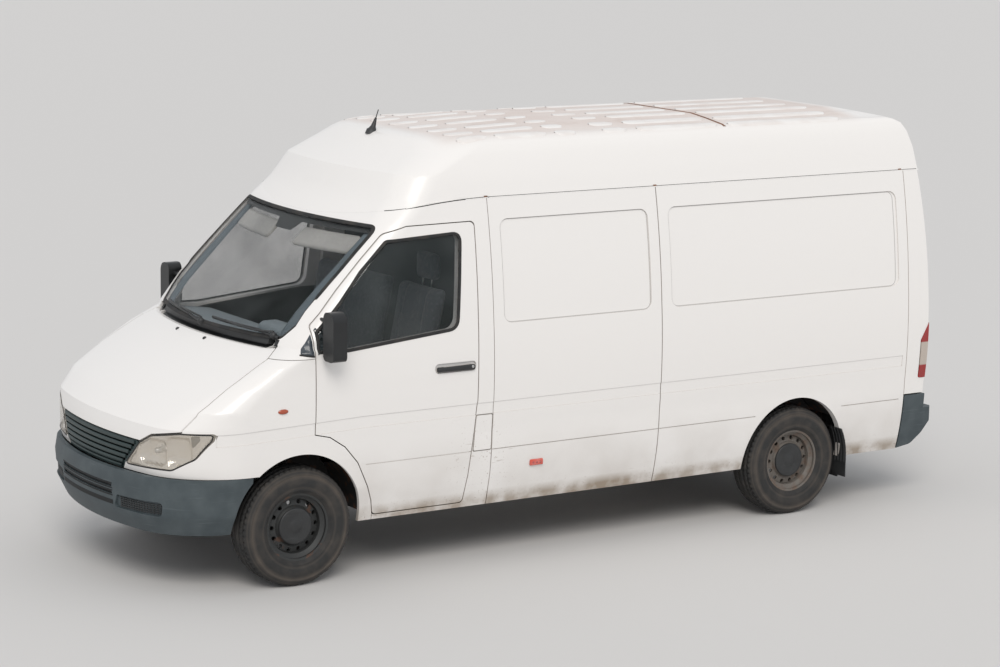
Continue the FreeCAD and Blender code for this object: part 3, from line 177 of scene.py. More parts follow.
# Boxes of wear, of roof dirt and of the tail lamp's clear band, then the levels of dirt at the sill.
BEHIND_DOOR = ((0.50, -2, 0.33), (0.86, 2, 0.80))
ROOF_TOP = ((-2.28, -0.68, 2.455), (0.80, 0.68, 3.0))
CLEAR_BAND = ((-9, -2, 0.885), (9, 2, 1.035))
DIRTY_BELOW = 0.80
SILL_TOP = 0.425
SILL_FOOT = 0.365


def make_paint():
    """White body paint, grimy low down and darkened in its gaps by painted shade, with scratches and specks
    at the bottom.
    """
    material, tree, shader = new_material("body_paint", WHITE, 0.32,
                                          {"Coat Weight": 0.35, "Coat Roughness": 0.12})
    height = axis_value(tree, 2)
    low_down = math_of("MULTIPLY", remap(height, DIRTY_BELOW, 0.34, 0.0, 0.42),
                       noise(tree, 2.2, 0.38, 0.70))
    along_edge = math_of("MULTIPLY", remap(height, SILL_TOP, SILL_FOOT, 0.0, 0.75),
                         noise(tree, 8, 0.36, 0.60, 0.25, 1.0, 7))
    # Painted shade: ambient occlusion darkens the paint towards the dirt colour in its gaps and seams.
    gaps = tree.nodes.new("ShaderNodeAmbientOcclusion")
    gaps.samples = 6
    gaps.inputs["Distance"].default_value = 0.014
    gap_shade = remap(gaps.outputs["AO"], 0.70, 0.30, 0.0, 0.55)
    dirt_and_gap_shade = math_of("ADD", math_of("ADD", low_down, along_edge), gap_shade)
    colour = blend_colours(dirt_and_gap_shade, WHITE, DIRT_AND_SHADE)
    specks = noise(tree, 75, 0.63, 0.70, 0.0, 0.55, 7)
    scuffs = noise(tree, 30, 0.66, 0.72, 0.0, 0.5, 8, (0.25, 1, 1.6))
    along_sill = remap(height, 0.47, 0.36, 0.0, 0.9)
    worn = math_of("ADD", box_mask(tree, *BEHIND_DOOR, 0.12), along_sill)
    marks = math_of("MULTIPLY", math_of("ADD", specks, scuffs), worn)
    colour_by(shader, marks, colour, SCUFF)
    rough_by(shader, dirt_and_gap_shade, 0.6, 0.30, 0.75)
    grain(shader, 420, 0.0002, 0.25)
    return material


def make_roof_paint():
    """Roof paint: clean sides, and a dirty pink-brown film on the flat top."""
    material, tree, shader = new_material("roof_paint", WHITE, 0.34,
                                          {"Coat Weight": 0.2, "Coat Roughness": 0.2})
    film = box_mask(tree, *ROOF_TOP, 0.055)
    mottle = noise(tree, 3.2, 0.25, 0.75, 0.55, 1.0, 7, (0.6, 1, 1))
    dusty = blend_colours(noise(tree, 5.5, 0.56, 0.72, 0.0, 0.5), ROOF_FILM, ROOF_STAIN)
    colour_by(shader, math_of("MULTIPLY", film, mottle), WHITE, dusty)
    rough_by(shader, film, 1.0, 0.32, 0.7)
    grain(shader, 300, 0.0002, 0.25)
    return material


def make_tail_lens():
    """Tail lamp lens in three bands: red, clear and red."""
    material, tree, shader = new_material("tail_lens", (0.30, 0.012, 0.012), 0.15, {"Coat Weight": 0.7})
    ripple = remap(pattern(tree, "Wave", 42, stretch=(1, 1, 0.25)), 0.2, 0.8)
    red = blend_colours(ripple, (0.24, 0.008, 0.010), (0.36, 0.020, 0.016))
    pale = blend_colours(ripple, (0.42, 0.36, 0.31), (0.56, 0.49, 0.43))
    colour_by(shader, box_mask(tree, *CLEAR_BAND, 0.004), red, pale)
    bump(shader, pattern(tree, "Wave", 60, stretch=(1, 1, 0.2)), 0.0006, 0.3)
    return material


def make_plastic(name, colour, roughness, worn, fade=0.35):
    """Moulded plastic with a fine grain, bleached in patches."""
    material, tree, shader = new_material(name, colour, roughness)
    patches = noise(tree, 7, 0.42, 0.72, 0.0, fade, 7)
    scratches = noise(tree, 9, 0.62, 0.70, 0.0, fade, 8, (0.5, 0.5, 9))
    factor = math_of("ADD", patches, scratches)
    colour_by(shader, factor, colour, worn)
    rough_by(shader, factor, 0.7, roughness, min(roughness + 0.2, 1.0))
    grain(shader, 900, 0.0004, 0.35)
    return material


def make_glass(name, low_alpha, high_alpha):
    """Tinted pane seen through, with a film of dust."""
    clean = (0.020, 0.030, 0.030)
    material, tree, shader = new_material(name, clean, 0.03, {"Specular IOR Level": 0.8})
    dust = noise(tree, 3.0, 0.40, 0.75, 0.0, 0.12, 7)
    colour_by(shader, dust, clean, (0.36, 0.38, 0.38))
    connect(remap(dust, 0.0, 0.12, low_alpha, high_alpha), shader.inputs["Alpha"])
    return material


def make_metal(name, colour, roughness, rust_amount, metallic=0.5, rust=(RUST, (0.34, 0.20, 0.13))):
    """Chassis or wheel metal, rusted in patches."""
    material, tree, shader = new_material(name, colour, roughness, {"Metallic": metallic})
    patches = noise(tree, 16, 0.62 - rust_amount * 0.3, 0.66, detail=8)
    rust_colour = blend_colours(noise(tree, 90, 0.4, 0.7, 0.0, 0.5, 4), *rust)
    factor = math_of("MULTIPLY", patches, min(rust_amount + 0.25, 1.0))
    colour_by(shader, factor, colour, rust_colour)
    rough_by(shader, factor, 0.6, roughness, 0.85)
    grain(shader, 160, 0.0006, 0.5, 4)
    return material


# Rings of road dust on a tyre: middle radius, half width and strength.
DUST_RINGS = ((0.300, 0.020, 0.55), (0.232, 0.010, 0.25), (0.326, 0.006, 0.3))


def make_rubber(name, colour=(0.022, 0.022, 0.022), axle=None):
    """Rubber with brown road dust, on a tyre also in rings round the axle."""
    material, tree, shader = new_material(name, colour, 0.78)
    dust = noise(tree, 11, 0.42, 0.75, 0.0, 0.35)
    if axle is not None:
        ahead_of = math_of("SUBTRACT", axis_value(tree, 0), axle)
        above = math_of("SUBTRACT", axis_value(tree, 2), WHEEL_RADIUS)
        squares = math_of("ADD", math_of("MULTIPLY", ahead_of, ahead_of),
                          math_of("MULTIPLY", above, above))
        distance = math_of("POWER", squares, 0.5)
        for middle, half, amount in DUST_RINGS:
            rise = remap(distance, middle - half, middle, 0.0, amount)
            fall = remap(distance, middle + half, middle, 0.0, 1.0)
            dust = math_of("ADD", dust, math_of("MULTIPLY", rise, fall))
    colour_by(shader, dust, colour, (0.100, 0.082, 0.067))
    grain(shader, 260, 0.0005, 0.6, 3)
    return material


def make_cloth(name, colour, light):
    """Woven seat cloth with a faint fleck."""
    material, tree, shader = new_material(name, colour, 0.93, {"Sheen Weight": 0.35})
    colour_by(shader, noise(tree, 60, 0.50, 0.72, 0.0, 0.6, 5), colour, light)
    bump(shader, pattern(tree, "Voronoi", 420), 0.0012, 0.6)
    return material


def make_lens(name, colour, roughness, alpha=1.0, haze_amount=0.45):
    """Lamp lens with a moulded ripple."""
    material, tree, shader = new_material(name, colour, roughness, {"Alpha": alpha, "Coat Weight": 0.6})
    pale = tuple(min(1.0, c * 0.6 + 0.32) for c in colour)
    colour_by(shader, noise(tree, 14, 0.4, 0.7, 0.0, haze_amount, 5), colour, pale)
    bump(shader, pattern(tree, "Wave", 60, stretch=(1, 1, 0.2)), 0.0006, 0.35)
    return material


def make_bead_paint():
    """Clean paint on the raised beads of the roof, thinly soiled."""
    material, tree, shader = new_material("bead_paint", WHITE, 0.36)
    colour_by(shader, noise(tree, 6, 0.40, 0.75, 0.0, 0.55), WHITE, ROOF_FILM)
    return material


def make_quarter_gloss():
    """Dark glossy cover of the corner ahead of the door window."""
    material, tree, shader = new_material("quarter_gloss", (0.05, 0.062, 0.075), 0.3, {"Coat Weight": 0.25})
    colour_by(shader, noise(tree, 8, 0.35, 0.7, detail=4), (0.035, 0.045, 0.055), (0.085, 0.10, 0.12))
    return material


def make_plywood():
    """Worn load floor boards with a lengthwise grain."""
    material, tree, shader = new_material("plywood", (0.30, 0.22, 0.15), 0.8)
    lengthwise = noise(tree, 9, 0.3, 0.7, detail=8, stretch=(0.4, 9, 1))
    board = blend_colours(lengthwise, (0.22, 0.155, 0.10), (0.36, 0.27, 0.185))
    colour_by(shader, noise(tree, 2.4, 0.4, 0.7, 0.0, 0.6), board, (0.17, 0.15, 0.13))
    bump(shader, lengthwise, 0.0008, 0.4)
    return material


def make_plain(name, colour, roughness, metallic=0.0):
    return new_material(name, colour, roughness, {"Metallic": metallic})[0]


def make_reflector():
    """Rippled bright bowl behind the lamp's lens."""
    material, tree, shader = new_material("reflector", (0.78, 0.74, 0.68), 0.18, {"Metallic": 1.0})
    bump(shader, pattern(tree, "Wave", 26), 0.002, 0.4)
    return material


MATERIALS = {
    "body_paint": make_paint(),
    "roof_paint": make_roof_paint(),
    "bead_paint": make_bead_paint(),
    "tail_lens": make_tail_lens(),
    "quarter_gloss": make_quarter_gloss(),
    "plywood": make_plywood(),
    "reflector": make_reflector(),
    "tyre": make_rubber("tyre_rubber"),
    "tyre_front": make_rubber("tyre_front", axle=FRONT_AXLE),
    "tyre_rear": make_rubber("tyre_rear", axle=REAR_AXLE),
    "seal_rubber": make_rubber("seal_rubber", (0.016, 0.017, 0.018)),
}
FINISHES = (
    (make_plain, {
        "slot_shade_black": ((0.006, 0.007, 0.008), 0.7),
        "pressing_edge_shade": ((0.50, 0.485, 0.47), 0.5),
        "mirror_face": ((0.75, 0.77, 0.78), 0.04, 1.0),
    }),
    (make_glass, {
        "glass": (0.10, 0.22),
        "side_glass": (0.24, 0.38),
    }),
    (make_plastic, {
        "dark_trim": ((0.035, 0.038, 0.040), 0.75, (0.07, 0.072, 0.072)),
        "blue_trim": ((0.13, 0.165, 0.19), 0.7, (0.20, 0.235, 0.26)),
        "pale_trim": ((0.42, 0.43, 0.43), 0.7, (0.52, 0.53, 0.52)),
        "dash_cover": ((0.24, 0.285, 0.31), 0.7, (0.31, 0.35, 0.37)),
        "cab_plastic": ((0.14, 0.155, 0.165), 0.62, (0.22, 0.235, 0.24)),
        "mirror_shell": ((0.012, 0.013, 0.014), 0.35, (0.03, 0.032, 0.034), 0.2),
        "bumper_plastic": ((0.050, 0.066, 0.074), 0.55, (0.135, 0.16, 0.17)),
        "black_plastic": ((0.022, 0.023, 0.024), 0.45, (0.07, 0.075, 0.078), 0.3),
        "grille_plastic": ((0.020, 0.036, 0.036), 0.42, (0.05, 0.075, 0.075), 0.3),
    }),
    (make_cloth, {
        "visor_cloth": ((0.44, 0.43, 0.41), (0.56, 0.55, 0.53)),
        "seat_cloth": ((0.105, 0.115, 0.130), (0.24, 0.25, 0.27)),
    }),
    (make_metal, {
        "joint_rust": ((0.17, 0.10, 0.075), 0.85, 0.8, 0.0),
        "wheel_dark": ((0.050, 0.052, 0.052), 0.55, 0.06),
        "wheel_rusty": ((0.15, 0.135, 0.12), 0.6, 0.5, 0.2, ((0.13, 0.085, 0.062), (0.24, 0.18, 0.14))),
        "chassis_metal": ((0.035, 0.034, 0.033), 0.7, 0.35, 0.3),
        "bright_metal": ((0.55, 0.55, 0.54), 0.35, 0.05, 0.9),
    }),
    (make_lens, {
        "lamp_lens": ((0.62, 0.56, 0.47), 0.10, 0.38),
        "amber_lens": ((0.38, 0.055, 0.012), 0.2, 1.0, 0.08),
        "red_lens": ((0.36, 0.014, 0.012), 0.15),
        "red_marker": ((0.62, 0.055, 0.022), 0.2),
    }),
)
for make_finish, finishes in FINISHES:
    for finish_name, values in finishes.items():
        MATERIALS[finish_name] = make_finish(finish_name, *values)

NODE_MATERIALS = {
    "tail_lamps": "tail_lens",
    "roof": "roof_paint",
    "door_glass_left": "side_glass",
    "door_glass_right": "side_glass",
    "load_floor": "plywood",
    # The bulkhead wears dark trim as painted shade, for the dim space behind the seats.
    "bulkhead": "dark_trim",
    "dashboard": "dash_cover",
    "mirror_left": "mirror_shell",
    "mirror_right": "mirror_shell",
    "cab_floor": "dark_trim",
    "grille": "grille_plastic",
    "rim_front_left": "wheel_dark",
    "rim_front_right": "wheel_dark",
    "rim_rear_left": "wheel_rusty",
    "rim_rear_right": "wheel_rusty",
}
record_slots = {part["node"]: part["material_slot"] for part in frame["record"]["subparts"]}


def smooth_group():
    """Geometry nodes that join the faces of a CAD mesh and smooth all but its sharp edges."""
    group = bpy.data.node_groups.new("smooth_faces", "GeometryNodeTree")
    group.interface.new_socket("Geometry", in_out="INPUT", socket_type="NodeSocketGeometry")
    group.interface.new_socket("Geometry", in_out="OUTPUT", socket_type="NodeSocketGeometry")
    start = group.nodes.new("NodeGroupInput")
    weld = group.nodes.new("GeometryNodeMergeByDistance")
    weld.inputs["Distance"].default_value = 0.00002
    angle = group.nodes.new("GeometryNodeInputMeshEdgeAngle")
    sharp = group.nodes.new("FunctionNodeCompare")
    sharp.operation = "GREATER_THAN"
    sharp.inputs["B"].default_value = math.radians(24)
    normals = group.nodes.new("GeometryNodeSetMeshNormal")
    end = group.nodes.new("NodeGroupOutput")
    link = group.links.new
    link(start.outputs[0], weld.inputs["Geometry"])
    link(weld.outputs[0], normals.inputs["Mesh"])
    link(angle.outputs["Unsigned Angle"], sharp.inputs["A"])
    link(sharp.outputs[0], normals.inputs["Edge Sharpness"])
    link(normals.outputs[0], end.inputs[0])
    return group


SMOOTH = smooth_group()


def dress_nodes():
    for name, piece in nodes.items():
        finish = NODE_MATERIALS.get(name, record_slots[name])
        piece.data.materials.clear()
        piece.data.materials.append(MATERIALS[finish])
        modifier = piece.modifiers.new("smooth", "NODES")
        modifier.node_group = SMOOTH


# Mesh helpers.

def ahead(x, y, z):
    """Point of the row frame from one measured from the front axle."""
    return Vector((x + FRONT_AXLE, y, z))


def put_in_scene(name, data):
    item = bpy.data.objects.new(name, data)
    bpy.context.scene.collection.objects.link(item)
    return item


def add_piece(name, shape, finish, body="root", smooth=True):
    """Finished piece from a shape under way, on the body that it moves with."""
    mesh = bpy.data.meshes.new(name)
    bmesh.ops.recalc_face_normals(shape, faces=shape.faces)
    shape.to_mesh(mesh)
    shape.free()
    piece = put_in_scene(name, mesh)
    mesh.materials.append(MATERIALS[finish])
    for polygon in mesh.polygons:
        polygon.use_smooth = smooth
    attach(piece, body)
    return piece


def skin_of(*names):
    """Surface of some CAD nodes for ray casts."""
    joined = bmesh.new()
    for name in names:
        joined.from_mesh(nodes[name].data)
    tree = BVHTree.FromBMesh(joined)
    joined.free()
    return tree


VIEWS = {
    "left": (lambda a, b: ahead(a, 3, b), Vector((0, -1, 0))),
    "right": (lambda a, b: ahead(a, -3, b), Vector((0, 1, 0))),
    "front": (lambda a, b: Vector((6, a, b)), Vector((-1, 0, 0))),
    "rear": (lambda a, b: Vector((-6, a, b)), Vector((1, 0, 0))),
    "top": (lambda a, b: ahead(a, b, 5), Vector((0, 0, -1))),
}


def on_skin(tree, view, a, b):
    """Where a sight line meets the skin, with the outward normal; None if it misses."""
    start, direction = VIEWS[view]
    place, normal, index, distance = tree.ray_cast(start(a, b), direction)
    if place is None:
        return None
    return place, -normal if normal.dot(direction) > 0 else normal


def rounded_path(corners, closed=True, step=0.02):
    """Evenly stepped points along (a, b, radius) corners with rounded turns."""
    points = []
    count = len(corners)
    for index, (a, b, radius) in enumerate(corners):
        here = Vector((a, b))
        inner = closed or 0 < index < count - 1
        if not radius or not inner:
            points.append(here)
            continue
        before = Vector(corners[index - 1][:2])
        after = Vector(corners[(index + 1) % count][:2])
        back, on = (before - here).normalized(), (after - here).normalized()
        half = math.acos(max(-1, min(1, back.dot(on)))) / 2
        reach = radius / math.tan(half)
        turns = 6
        for turn in range(turns + 1):
            t = turn / turns
            points.append((1 - t) ** 2 * (here + back * reach) + 2 * t * (1 - t) * here
                          + t ** 2 * (here + on * reach))
    stepped = []
    pairs = zip(points, points[1:] + points[:1]) if closed else zip(points, points[1:])
    for start, end in pairs:
        count_steps = max(1, round((end - start).length / step))
        stepped += [start.lerp(end, i / count_steps) for i in range(count_steps)]
    return stepped if closed else stepped + [points[-1]]


def join_rows(mesh, rows, closed=False, round_about=False):
    """Faces between neighbouring rows of vertices; the rows, or each row, may close on themselves."""
    for row, following in zip(rows, rows[1:] + rows[:1] if closed else rows[1:]):
        for k in range(len(row) if round_about else len(row) - 1):
            m = (k + 1) % len(row)
            corners = tuple(dict.fromkeys((row[k], row[m], following[m], following[k])))
            if len(corners) > 2:
                mesh.faces.new(corners)


# Cross-section of a strip as shares of its width and height.
STRIP_SECTION = ((-0.5, 0.0), (-0.42, 0.75), (-0.2, 1.0), (0.2, 1.0), (0.42, 0.75), (0.5, 0.0))


def lay_strip(strip, line, closed, width, rise, sink=0.002, round_ends=False):
    """A low rounded strip along (place, normal) pairs, added to a mesh under way."""
    rows = []
    count = len(line)
    travelled = [0.0]
    for before, after in zip(line, line[1:]):
        travelled.append(travelled[-1] + (after[0] - before[0]).length)
    for index, (place, normal) in enumerate(line):
        before = line[index - 1][0] if closed or index else place
        after = line[(index + 1) % count][0] if closed or index < count - 1 else place
        across = (after - before).normalized().cross(normal).normalized()
        share = 1.0
        if round_ends:
            reach = min(travelled[index], travelled[-1] - travelled[index])
            share = math.sqrt(max(0.02, 1 - max(0.0, 1 - 2 * reach / width) ** 2))
        row = []
        for u, h in STRIP_SECTION:
            height = h * rise * min(1.0, share * 1.3) - sink * (h == 0.0)
            row.append(strip.verts.new(place + across * width * share * u + normal * height))
        rows.append(row)
    join_rows(strip, rows, closed)


def ribbon(name, line, closed, width, rise, finish, body="root"):
    strip = bmesh.new()
    lay_strip(strip, line, closed, width, rise)
    return add_piece(name, strip, finish, body)


def open_strips(name, lines, width, rise, finish, sink=0.002):
    """One piece of several open strips of one width and rise."""
    strips = bmesh.new()
    for line in lines:
        lay_strip(strips, line, False, width, rise, sink)
    return add_piece(name, strips, finish)


def inlay(name, tree, view, corners, lift, finish, body="root", step=0.02, skirt=0.004):
    """Panel that follows the skin inside an outline, lifted along the normal by a number or lift(a, b)."""
    flat = bmesh.new()
    outline = rounded_path(corners, True, step)
    flat.faces.new([flat.verts.new((point.x, point.y, 0)) for point in outline])
    for axis in (0, 1):
        low = min(point[axis] for point in outline)
        high = max(point[axis] for point in outline)
        for cut in range(1, math.ceil((high - low) / step)):
            place = [0, 0, 0]
            place[axis] = low + cut * step
            bmesh.ops.bisect_plane(flat, geom=flat.verts[:] + flat.edges[:] + flat.faces[:], dist=1e-6,
                                   plane_co=place, plane_no=(axis == 0, axis == 1, 0))
    bmesh.ops.triangulate(flat, faces=flat.faces[:])
    missed = []
    normals = {}
    for vertex in flat.verts:
        hit = on_skin(tree, view, vertex.co.x, vertex.co.y)
        if hit is None:
            missed.append(vertex)
            continue
        vertex.co = hit[0] + hit[1] * (lift(vertex.co.x, vertex.co.y) if callable(lift) else lift)
        normals[vertex] = hit[1]
    bmesh.ops.delete(flat, geom=missed, context="VERTS")
    if skirt:
        rim = [edge for edge in flat.edges if edge.is_boundary]
        lower = {}
        for edge in rim:
            for vertex in edge.verts:
                if vertex not in lower:
                    lower[vertex] = flat.verts.new(vertex.co - normals[vertex] * skirt)
        for edge in rim:
            first, second = edge.verts
            flat.faces.new((first, second, lower[second], lower[first]))
    return add_piece(name, flat, finish, body)


def hits_of(tree, view, places):
    """Skin hits at those (a, b) of a view that meet the skin."""
    hits = [on_skin(tree, view, a, b) for a, b in places]
    return [hit for hit in hits if hit is not None]


def drape(tree, view, corners, closed=True, step=0.02):
    """Corners in a view turned into (place, normal) pairs on the skin."""
    return hits_of(tree, view, rounded_path(corners, closed, step))


def straight(tree, view, start, end, step=0.02):
    """Skin points along a straight line of a view."""
    return drape(tree, view, ((*start, 0), (*end, 0)), closed=False, step=step)


def mirrored(corners, side):
    return tuple((side * a, b, radius) for a, b, radius in corners)


def ring_of(mesh, centre, turn, radius, height, count):
    """Ring of vertices round a turned upright."""
    return [mesh.verts.new(centre + turn @ Vector((radius * math.cos(2 * math.pi * i / count),
                                                   radius * math.sin(2 * math.pi * i / count), height)))
            for i in range(count)]


def dome(name, centre, direction, rings, finish, body="root", count=48):
    """Turned piece from (radius, height) rings along a direction."""
    turned = bmesh.new()
    turn = direction.to_track_quat("Z", "X").to_matrix()
    rows = []
    for radius, height in rings:
        if radius < 1e-6:
            rows.append([turned.verts.new(centre + turn @ Vector((0, 0, height)))] * count)
        else:
            rows.append(ring_of(turned, centre, turn, radius, height, count))
    join_rows(turned, rows, round_about=True)
    return add_piece(name, turned, finish, body)


def rounded_box(low, high, bevel, segments):
    shape = bmesh.new()
    bmesh.ops.create_cube(shape, size=1.0)
    bmesh.ops.scale(shape, vec=Vector(high) - Vector(low), verts=shape.verts)
    bmesh.ops.translate(shape, vec=(Vector(high) + Vector(low)) / 2, verts=shape.verts)
    bmesh.ops.bevel(shape, geom=shape.edges[:], offset=bevel, segments=segments, affect="EDGES", profile=0.5)
    return shape


def soft_box(name, low, high, bevel, finish, body="root", segments=3):
    """Box with rounded edges."""
    return add_piece(name, rounded_box(low, high, bevel, segments), finish, body)


def flat_plate(name, points, thickness, finish, body):
    """Plate of some thickness on a flat outline of points."""
    flat = bmesh.new()
    face = flat.faces.new([flat.verts.new(point) for point in points])
    bmesh.ops.solidify(flat, geom=[face], thickness=thickness)
    return add_piece(name, flat, finish, body, smooth=False)


def tube(name, points, radius, finish, body="root", count=10):
    """Round bar along points."""
    line = bmesh.new()
    rows = []
    for index, place in enumerate(points):
        before = points[index - 1] if index else place
        after = points[index + 1] if index < len(points) - 1 else place
        turn = (after - before).normalized().to_track_quat("Z", "X").to_matrix()
        rows.append(ring_of(line, place, turn, radius, 0, count))
    join_rows(line, rows, round_about=True)
    line.faces.new(rows[0][::-1])
    line.faces.new(rows[-1])
    return add_piece(name, line, finish, body)


# Glazing seals.
SCREEN_EDGE = (
    (-0.758, 1.411, 0.040), (0.758, 1.411, 0.040), (0.801, 1.486, 0), (0.798, 1.780, 0),
    (0.787, 2.013, 0.045), (-0.787, 2.013, 0.045), (-0.798, 1.780, 0), (-0.801, 1.486, 0),
)
DOOR_WINDOW = (
    (-0.105, 1.350, 0.008), (-0.105, 1.458, 0.008), (-0.259, 1.615, 0), (-0.404, 1.777, 0),
    (-0.578, 1.938, 0.040), (-1.067, 1.960, 0.050), (-1.020, 1.412, 0.070), (-0.295, 1.345, 0),
)


def make_glazing():
    front = skin_of("cab_frame", "windscreen", "cowl", "roof")
    ribbon("screen_seal", drape(front, "front", SCREEN_EDGE), True, 0.026, 0.003, "seal_rubber")
    for side, word in SIDES:
        door = skin_of(f"door_{word}", f"door_glass_{word}")
        ribbon(f"window_seal_{word}", drape(door, word, DOOR_WINDOW), True, 0.020, 0.003, "seal_rubber",
               f"door_{word}")


# Beads pressed into the roof: rows across, and front and rear ends measured from the front axle.
BEAD_ROWS = (0.115, 0.335, 0.515, 0.665)
BEAD_SPANS = ((-1.17, -1.37), (-1.43, -1.79), (-1.855, -2.00), (-2.20, -2.37), (-2.45, -3.05), (-3.14, -4.02))
BEAD_WIDTH = 0.098
BEAD_RISE = 0.004
BEAD_SINK = 0.003
ROOF_JOINT_AT = -3.095
ROOF_JOINT_HALF = 0.70
GUTTER_LEVEL = 2.150
RUST_SPOTS = ((-1.264, 2.152), (-2.471, 2.152), (-4.40, 2.152))
FLANKS = {
    "left": ("side_panel_left_front", "side_panel_rear_left"),
    "right": ("sliding_door", "side_panel_rear_right"),
}

# Pressed panels of the flanks just inside their edge: rear end, front end and place.
PRESSINGS = ((-4.320, -2.551, "rear"), (-2.391, -1.344, "front"))
PRESSING_LOW = 1.421
PRESSING_HIGH = 2.018
PRESSING_ROUND = 0.052


def make_beads(roof):
    beads = bmesh.new()
    for side, word in SIDES:
        for row in BEAD_ROWS:
            for front, rear in BEAD_SPANS:
                line = straight(roof, "top", (front, side * row), (rear, side * row), 0.012)
                lay_strip(beads, line, False, BEAD_WIDTH, BEAD_RISE, BEAD_SINK, round_ends=True)
    beads.verts.ensure_lookup_table()
    for index, vertex in enumerate(beads.verts):
        hit = on_skin(roof, "top", vertex.co.x - FRONT_AXLE, vertex.co.y)
        if hit:
            share = STRIP_SECTION[index % len(STRIP_SECTION)][1]
            vertex.co = hit[0] + hit[1] * (BEAD_RISE * share - BEAD_SINK * (share == 0.0))
    add_piece("roof_beads", beads, "bead_paint")


def make_roof_details():
    roof = skin_of("roof")
    make_beads(roof)
    joint = straight(roof, "top", (ROOF_JOINT_AT, -ROOF_JOINT_HALF), (ROOF_JOINT_AT, ROOF_JOINT_HALF), 0.03)
    ribbon("roof_joint", joint, False, 0.020, 0.003, "joint_rust")
    gutter = [(-0.64 - 0.02 * i, GUTTER_LEVEL - 0.055 * max(0, 1 - i / 33) ** 2) for i in range(197)]
    for side, word in SIDES:
        flank = skin_of("roof", "cab_frame", *FLANKS[word])
        ribbon(f"gutter_seal_{word}", hits_of(flank, word, gutter), False, 0.006, 0.0012, "seal_rubber")
        for rear, front, place in PRESSINGS:
            outline = ((rear, PRESSING_LOW, PRESSING_ROUND), (front, PRESSING_LOW, PRESSING_ROUND),
                       (front, PRESSING_HIGH, PRESSING_ROUND), (rear, PRESSING_HIGH, PRESSING_ROUND))
            # Painted shade: a thin ribbon of greyer paint round each pressing stands in for the shade along
            # its edge.
            ribbon(f"pressing_{place}_{word}", drape(flank, word, outline), True, 0.006, 0.0006, "pressing_edge_shade")
        spots = [[(place + Vector((d, 0, 0)), normal) for d in (-0.012, 0.0, 0.012)]
                 for place, normal in hits_of(roof, word, RUST_SPOTS)]
        open_strips(f"gutter_rust_{word}", spots, 0.014, 0.003, "joint_rust")


# Front lamps: reflector bowls as (middle y, middle z, half y, half z, depth).
LAMP_CLEAR = (
    (0.402, 0.709, 0.015), (0.617, 0.718, 0.030), (0.747, 0.720, 0.060), (0.848, 0.792, 0.060),
    (0.905, 0.899, 0.012), (0.912, 0.934, 0.010), (0.792, 0.933, 0), (0.617, 0.902, 0.040),
    (0.526, 0.850, 0.020),
)
LAMP_AMBER = ((0.842, 0.852, 0.004), (0.872, 0.900, 0.004), (0.868, 0.922, 0.004), (0.838, 0.918, 0.004))
BOWLS = ((0.610, 0.808, 0.100, 0.078, 0.050), (0.775, 0.825, 0.062, 0.085, 0.045))
LAMP_BACK = 0.012


def lamp_depth(y, z):
    depth = LAMP_BACK
    for middle_y, middle_z, half_y, half_z, deep in BOWLS:
        u, w = (abs(y) - middle_y) / half_y, (z - middle_z) / half_z
        inside = max(0.0, 1 - abs(u) ** 6 - abs(w) ** 6)
        depth = max(depth, LAMP_BACK + deep * inside ** 0.35 * (1 - 0.45 * (u * u + w * w) / 2))
    return -depth


BULB_RINGS = ((0.016, -0.03), (0.016, 0.004), (0.013, 0.009), (0.0, 0.011))
REPEATER_RINGS = ((0.0195, -0.002), (0.0195, 0.002), (0.0165, 0.0065), (0.010, 0.0095), (0.0, 0.0105))
REPEATER_STRETCH = (1.65, 1, 0.72, 1)


def make_lamps():
    lamps = skin_of("headlamps")
    skin = skin_of("headlamps", "wing_left", "wing_right", "bonnet", "grille")
    for side, word in SIDES:
        clear = mirrored(LAMP_CLEAR, side)
        inlay(f"lamp_inside_{word}", lamps, "front", clear, lamp_depth, "reflector", step=0.012, skirt=0)
        edge = drape(skin, "front", clear, step=0.012)
        ribbon(f"lamp_seal_{word}", edge, True, 0.009, 0.0012, "seal_rubber")
        dome(f"bulb_cap_{word}", ahead(0.735, side * 0.610, 0.812), Vector((1, 0, 0)), BULB_RINGS,
             "bright_metal", count=24)
        inlay(f"lamp_amber_{word}", lamps, "front", mirrored(LAMP_AMBER, side), -0.006, "dark_trim",
              step=0.012, skirt=0)
        centre = ahead(0.127, side * 0.9635, 1.036)
        repeater = dome(f"repeater_{word}", centre, Vector((0, side, 0)), REPEATER_RINGS, "amber_lens")
        repeater.data.transform(Matrix.Translation(centre) @ Matrix.Diagonal(REPEATER_STRETCH)
                                @ Matrix.Translation(-centre))


# Levels of the grille's bars, and of the slots and (with their widths) bands of painted slot shade in the
# bumper's middle.
GRILLE_BARS = (0.684, 0.715, 0.746, 0.777, 0.808, 0.839)
BUMPER_SLOTS = (0.530, 0.572)
BUMPER_SLOT_SHADES = ((0.5855, 0.009), (0.5585, 0.009), (0.5435, 0.009), (0.5165, 0.009), (0.476, 0.030))
SLOT_HALF = 0.0125
FOG_SLATS = 5
FOG_UPRIGHTS = 15


